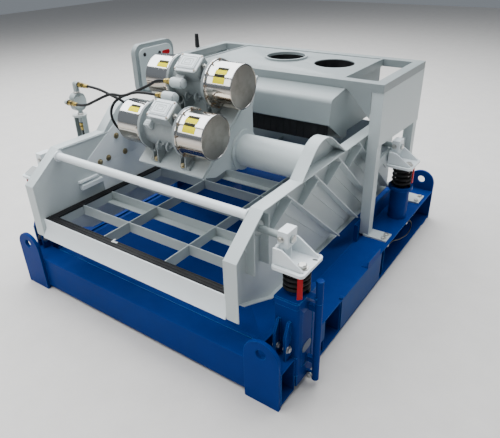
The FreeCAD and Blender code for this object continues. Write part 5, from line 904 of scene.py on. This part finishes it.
def blank_plates():
    """Blank plates where the photograph has markings, and the small knob on each rail."""
    pale = bmesh.new()
    slot_shade = bmesh.new()
    red = bmesh.new()
    dark = bmesh.new()
    knobs = bmesh.new()
    for side in (-1, 1):
        place = facing(at(side * 0.907, 0.222, 0.218), (side, 0, 0))
        rounded_plate(pale, 0.040, 0.0235, 0.0230, 0.0022, place)
        lathe(knobs, [(0, 0.014), (0.009, 0.013), (0.012, 0.010), (0.012, 0), (0, 0)],
              Matrix.Translation(at(side * 0.892, 0.609, 0.217)), 24)
        # A thin black sheet on each front bracket stands in for a slot: painted shade of the opening.
        place = Matrix.Translation(at(side * 0.908, 0.266, 0.650)) @ Matrix.Rotation(math.radians(20), 4, "Z")
        rounded_plate(slot_shade, 0.011, 0.0050, 0.0048, 0.0004, place)
    place = facing(at(-0.772, 1.255, 1.160), (1, 0, 0))
    rounded_plate(red, 0.036, 0.0140, 0.0135, 0.0015, place)
    for y, z in ((1.195, 1.165), (1.060, 1.175), (1.065, 0.980), (1.270, 0.980)):
        bolt(dark, facing(at(-0.772, y, z), (1, 0, 0)), 0.016, 0.007)
    finished("blank_post_plates", pale, "skid", "grey_paint", "dull_plate")
    finished("front_bracket_slot_shade", slot_shade, "front_brackets", "black_plastic")
    finished("blank_cabinet_plate", red, "skid", "grey_paint", "red_plastic")
    finished("rail_knobs", knobs, "skid", "blue_paint")
    finished("cabinet_screws", dark, "skid", "black_plastic", smooth=30.0)


def deck_details():
    """White clip on the front seal, ridges along the seal, and the lip's end gussets."""
    clip = bmesh.new()
    place = Matrix.Translation(at(-0.112, 0.072, 0.495)) @ Matrix.Rotation(math.radians(8), 4, "Z")
    slab(clip, (-0.016, -0.005, 0), (0.020, 0.005, 0.004), place, 0.001)
    slab(clip, (-0.016, -0.005, 0), (-0.006, 0.024, 0.0045), place, 0.001)
    finished("seal_clip", clip, "basket", "grey_paint", "white_plate")
    ridges = bmesh.new()
    for y in (0.046, 0.063, 0.080):
        slab(ridges, at(-0.627, y - 0.002, 0.4945), at(0.627, y + 0.002, 0.4975), round_by=0.001)
    for side in (-1, 1):
        for inset in (0.012, 0.030):
            slab(ridges, at(side * (0.627 - inset) - 0.002, 0.090, 0.4945),
                 at(side * (0.627 - inset) + 0.002, 1.850, 0.4975), round_by=0.001)
    finished("seal_ridges", ridges, "basket", "black_rubber")


def feed_details():
    """Black rubber tubes hanging in the inlets, painted shade that darkens their inside, and the pleats of the curtain.
    """
    shade_sleeves = bmesh.new()
    # Black tubes inside the inlets: painted shade for the dark inside of the feed box.
    for x, y in ((-0.055, 1.625), (0.300, 1.611)):
        place = Matrix.Translation(at(x, y, 0))
        lathe(shade_sleeves, [(0.1245, 1.1195), (0.1245, 0.985), (0.1215, 0.985), (0.1215, 1.1195), (0.1245, 1.1195)],
              place, 64)
    finished("inlet_shade_sleeves", shade_sleeves, "skid", "black_rubber")
    pleats = bmesh.new()
    for index in range(25):
        x = -0.528 + 0.044 * index
        slab(pleats, at(x - 0.0015, 1.0665, 0.832), at(x + 0.0015, 1.0690, 0.958), round_by=0.0005)
    finished("curtain_pleats", pleats, "skid", "black_rubber")


def conduit_details():
    """Cover plate with its screws on the conduit body, ring nuts, and the white disc under it."""
    plate = bmesh.new()
    screws = bmesh.new()
    place = facing(at(-0.787, 0.520, 0.998), (1, 0, 0))
    rounded_plate(plate, 0.043, 0.033, 0.025, 0.003, place)
    for z in (0.966, 1.030):
        screw(screws, facing(at(-0.784, 0.520, z), (1, 0, 0)), 0.0045, 0.003)
    finished("conduit_cover_plate", plate, "skid", "grey_paint")
    disc = bmesh.new()
    lathe(disc, [(0, 0.9225), (0.0405, 0.9225), (0.0420, 0.9210), (0.0420, 0.9125), (0.0405, 0.9115), (0, 0.9115)],
          Matrix.Translation(at(-0.815, 0.520, 0)), 56)
    finished("conduit_cap_disc", disc, "skid", "grey_paint", "white_plate")
    for origin, direction, radius in (((-0.802, 0.520, 0.9225), (0, 0, 1), 0.019),
                                      ((-0.8005, 0.520, 1.050), (0, 0, 1), 0.0215),
                                      ((-0.829, 0.482, 1.006), (0, -1, 0), 0.018)):
        lathe(screws, [(0, 0.010), (radius * 0.9, 0.010), (radius, 0.008), (radius, 0.002), (radius * 0.9, 0),
                       (0, 0)], facing(at(*origin), direction), 6)
    finished("conduit_ring_nuts", screws, "skid", "zinc_steel", smooth=30.0)


WELD_RIPPLE = 0.0045


def side_seams():
    """Weld lines of the right half, as (body, finish, start, end)."""
    seams = []
    for index in range(5):
        y = 0.392 + 0.251 * index
        drop = min(0.500, (1.845 - y) * 0.862)
        seams.append(("basket", (0.6365, y, 0.834), (0.6365, y + drop / 0.862, 0.834 - drop)))
    for y in (0.160, 0.272):
        seams.append(("basket", (0.6365, y, 0.542), (0.6365, y, 0.790)))
    for z in (0.842, ):
        seams.append(("basket", (0.627, 0.230, z - 0.007), (0.627, 0.560, z - 0.007)))
        seams.append(("basket", (0.627, 0.960, z - 0.007), (0.627, 1.850, z - 0.007)))
    for x in (0.2185, 0.2050):
        seams.append(("basket", motor_line(x, -0.160), motor_line(x, 0.455)))
    seams.append(("basket", (0.629, 0.014, 0.500), (0.629, 0.014, 0.688)))
    for x, y in ((0.808, 0.136), (0.864, 0.136)):
        seams.append(("skid_blue", (x, y, 0.207), (x, y, 0.385)))
    for x in (0.721, 0.899):
        seams.append(("skid_blue", (x, 0.021, 0.020), (x, 0.021, 0.204)))
        seams.append(("skid_blue", (x, 2.059, 0.020), (x, 2.059, 0.204)))
    seams.append(("skid_blue", (0.792, 0.137, 0.207), (0.908, 0.137, 0.207)))
    seams.append(("skid_blue", (0.894, 1.182, 0.030), (0.894, 1.182, 0.200)))
    seams.append(("skid_grey", (0.705, 1.240, 1.087), (0.765, 1.240, 1.087)))
    seams.append(("skid_grey", (0.735, 1.238, 0.228), (0.765, 1.238, 0.228)))
    seams.append(("skid_grey", (0.766, 1.240, 0.228), (0.766, 1.300, 0.228)))
    seams.append(("front_brackets", (0.786, 0.149, 0.651), (0.905, 0.149, 0.651)))
    seams.append(("front_brackets", (0.785, 0.160, 0.651), (0.785, 0.280, 0.651)))
    seams.append(("rear_brackets", (0.751, 1.514, 0.591), (0.870, 1.514, 0.591)))
    seams.append(("rear_brackets", (0.750, 1.525, 0.591), (0.750, 1.645, 0.591)))
    return seams


def motor_line(x, along):
    """Point on the saddle's underside at a distance up its slope."""
    fall = 0.139
    return (x, 0.452 + along * math.cos(SADDLE_ANGLE) + fall * math.sin(SADDLE_ANGLE),
            0.997 + along * math.sin(SADDLE_ANGLE) - fall * math.cos(SADDLE_ANGLE))


def welds():
    groups = {"basket": bmesh.new(), "skid_blue": bmesh.new(), "skid_grey": bmesh.new(),
              "front_brackets": bmesh.new(), "rear_brackets": bmesh.new()}
    for group, start, end in side_seams():
        for side in (-1, 1):
            bead(groups[group], at(side * start[0], *start[1:]), at(side * end[0], *end[1:]), 0.0030)
    for group, work in groups.items():
        body = "skid" if group.startswith("skid") else group
        slot = "blue_paint" if group == "skid_blue" else "grey_paint"
        finished(group + "_welds", work, body, slot, smooth=60.0)


def floor():
    mesh = bpy.data.meshes.new("floor")
    work = bmesh.new()
    bmesh.ops.create_grid(work, x_segments=1, y_segments=1, size=14.0)
    work.to_mesh(mesh)
    work.free()
    ground = bpy.data.objects.new("floor", mesh)
    bpy.context.scene.collection.objects.link(ground)
    made = bpy.data.materials.new("pale_floor")
    made.use_nodes = True
    tree = made.node_tree
    shader = tree.nodes["Principled BSDF"]
    shader.inputs["Roughness"].default_value = 0.85
    place = object_place(tree)
    mottle = noise(tree, place, 6.0, 8.0, 0.65)
    tone = blend_colour(tree, mottle, rgb(0.60, 0.572, 0.545), rgb(0.72, 0.69, 0.66))
    plug(tree, tone, shader.inputs["Base Color"])
    mesh.materials.append(made)


def area_light(name, place, target, size, power, colour):
    data = bpy.data.lights.new(name, "AREA")
    data.shape = "RECTANGLE"
    data.size, data.size_y = size
    data.energy = power
    data.color = colour
    holder = bpy.data.objects.new(name, data)
    bpy.context.scene.collection.objects.link(holder)
    holder.location = place
    holder.rotation_euler = (Vector(target) - Vector(place)).to_track_quat("-Z", "Y").to_euler()


def lights():
    world = bpy.data.worlds.new("studio")
    bpy.context.scene.world = world
    world.use_nodes = True
    background = world.node_tree.nodes["Background"]
    background.inputs["Color"].default_value = rgb(0.82, 0.90, 1.0)
    background.inputs["Strength"].default_value = 0.24
    area_light("sky_panel", (-1.6, 0.9, 5.2), (-0.2, 0.2, 0.3), (10.0, 10.0), 1480.0, (0.94, 0.975, 1.0))
    area_light("key_panel", (-2.6, -5.2, 3.6), (0, 0, 0.6), (3.0, 3.0), 70.0, (1.0, 0.98, 0.95))
    area_light("side_panel", (5.0, 0.5, 2.6), (0, 0, 0.5), (3.0, 2.4), 15.0, (1.0, 0.99, 0.97))



random.seed(7)
dress_all()
springs()
motor_covers()
cover_patches()
terminal_boxes()
motor_feet()
glands()
bolts()
travel_strips()
blank_plates()
deck_details()
feed_details()
conduit_details()
welds()
floor()
lights()
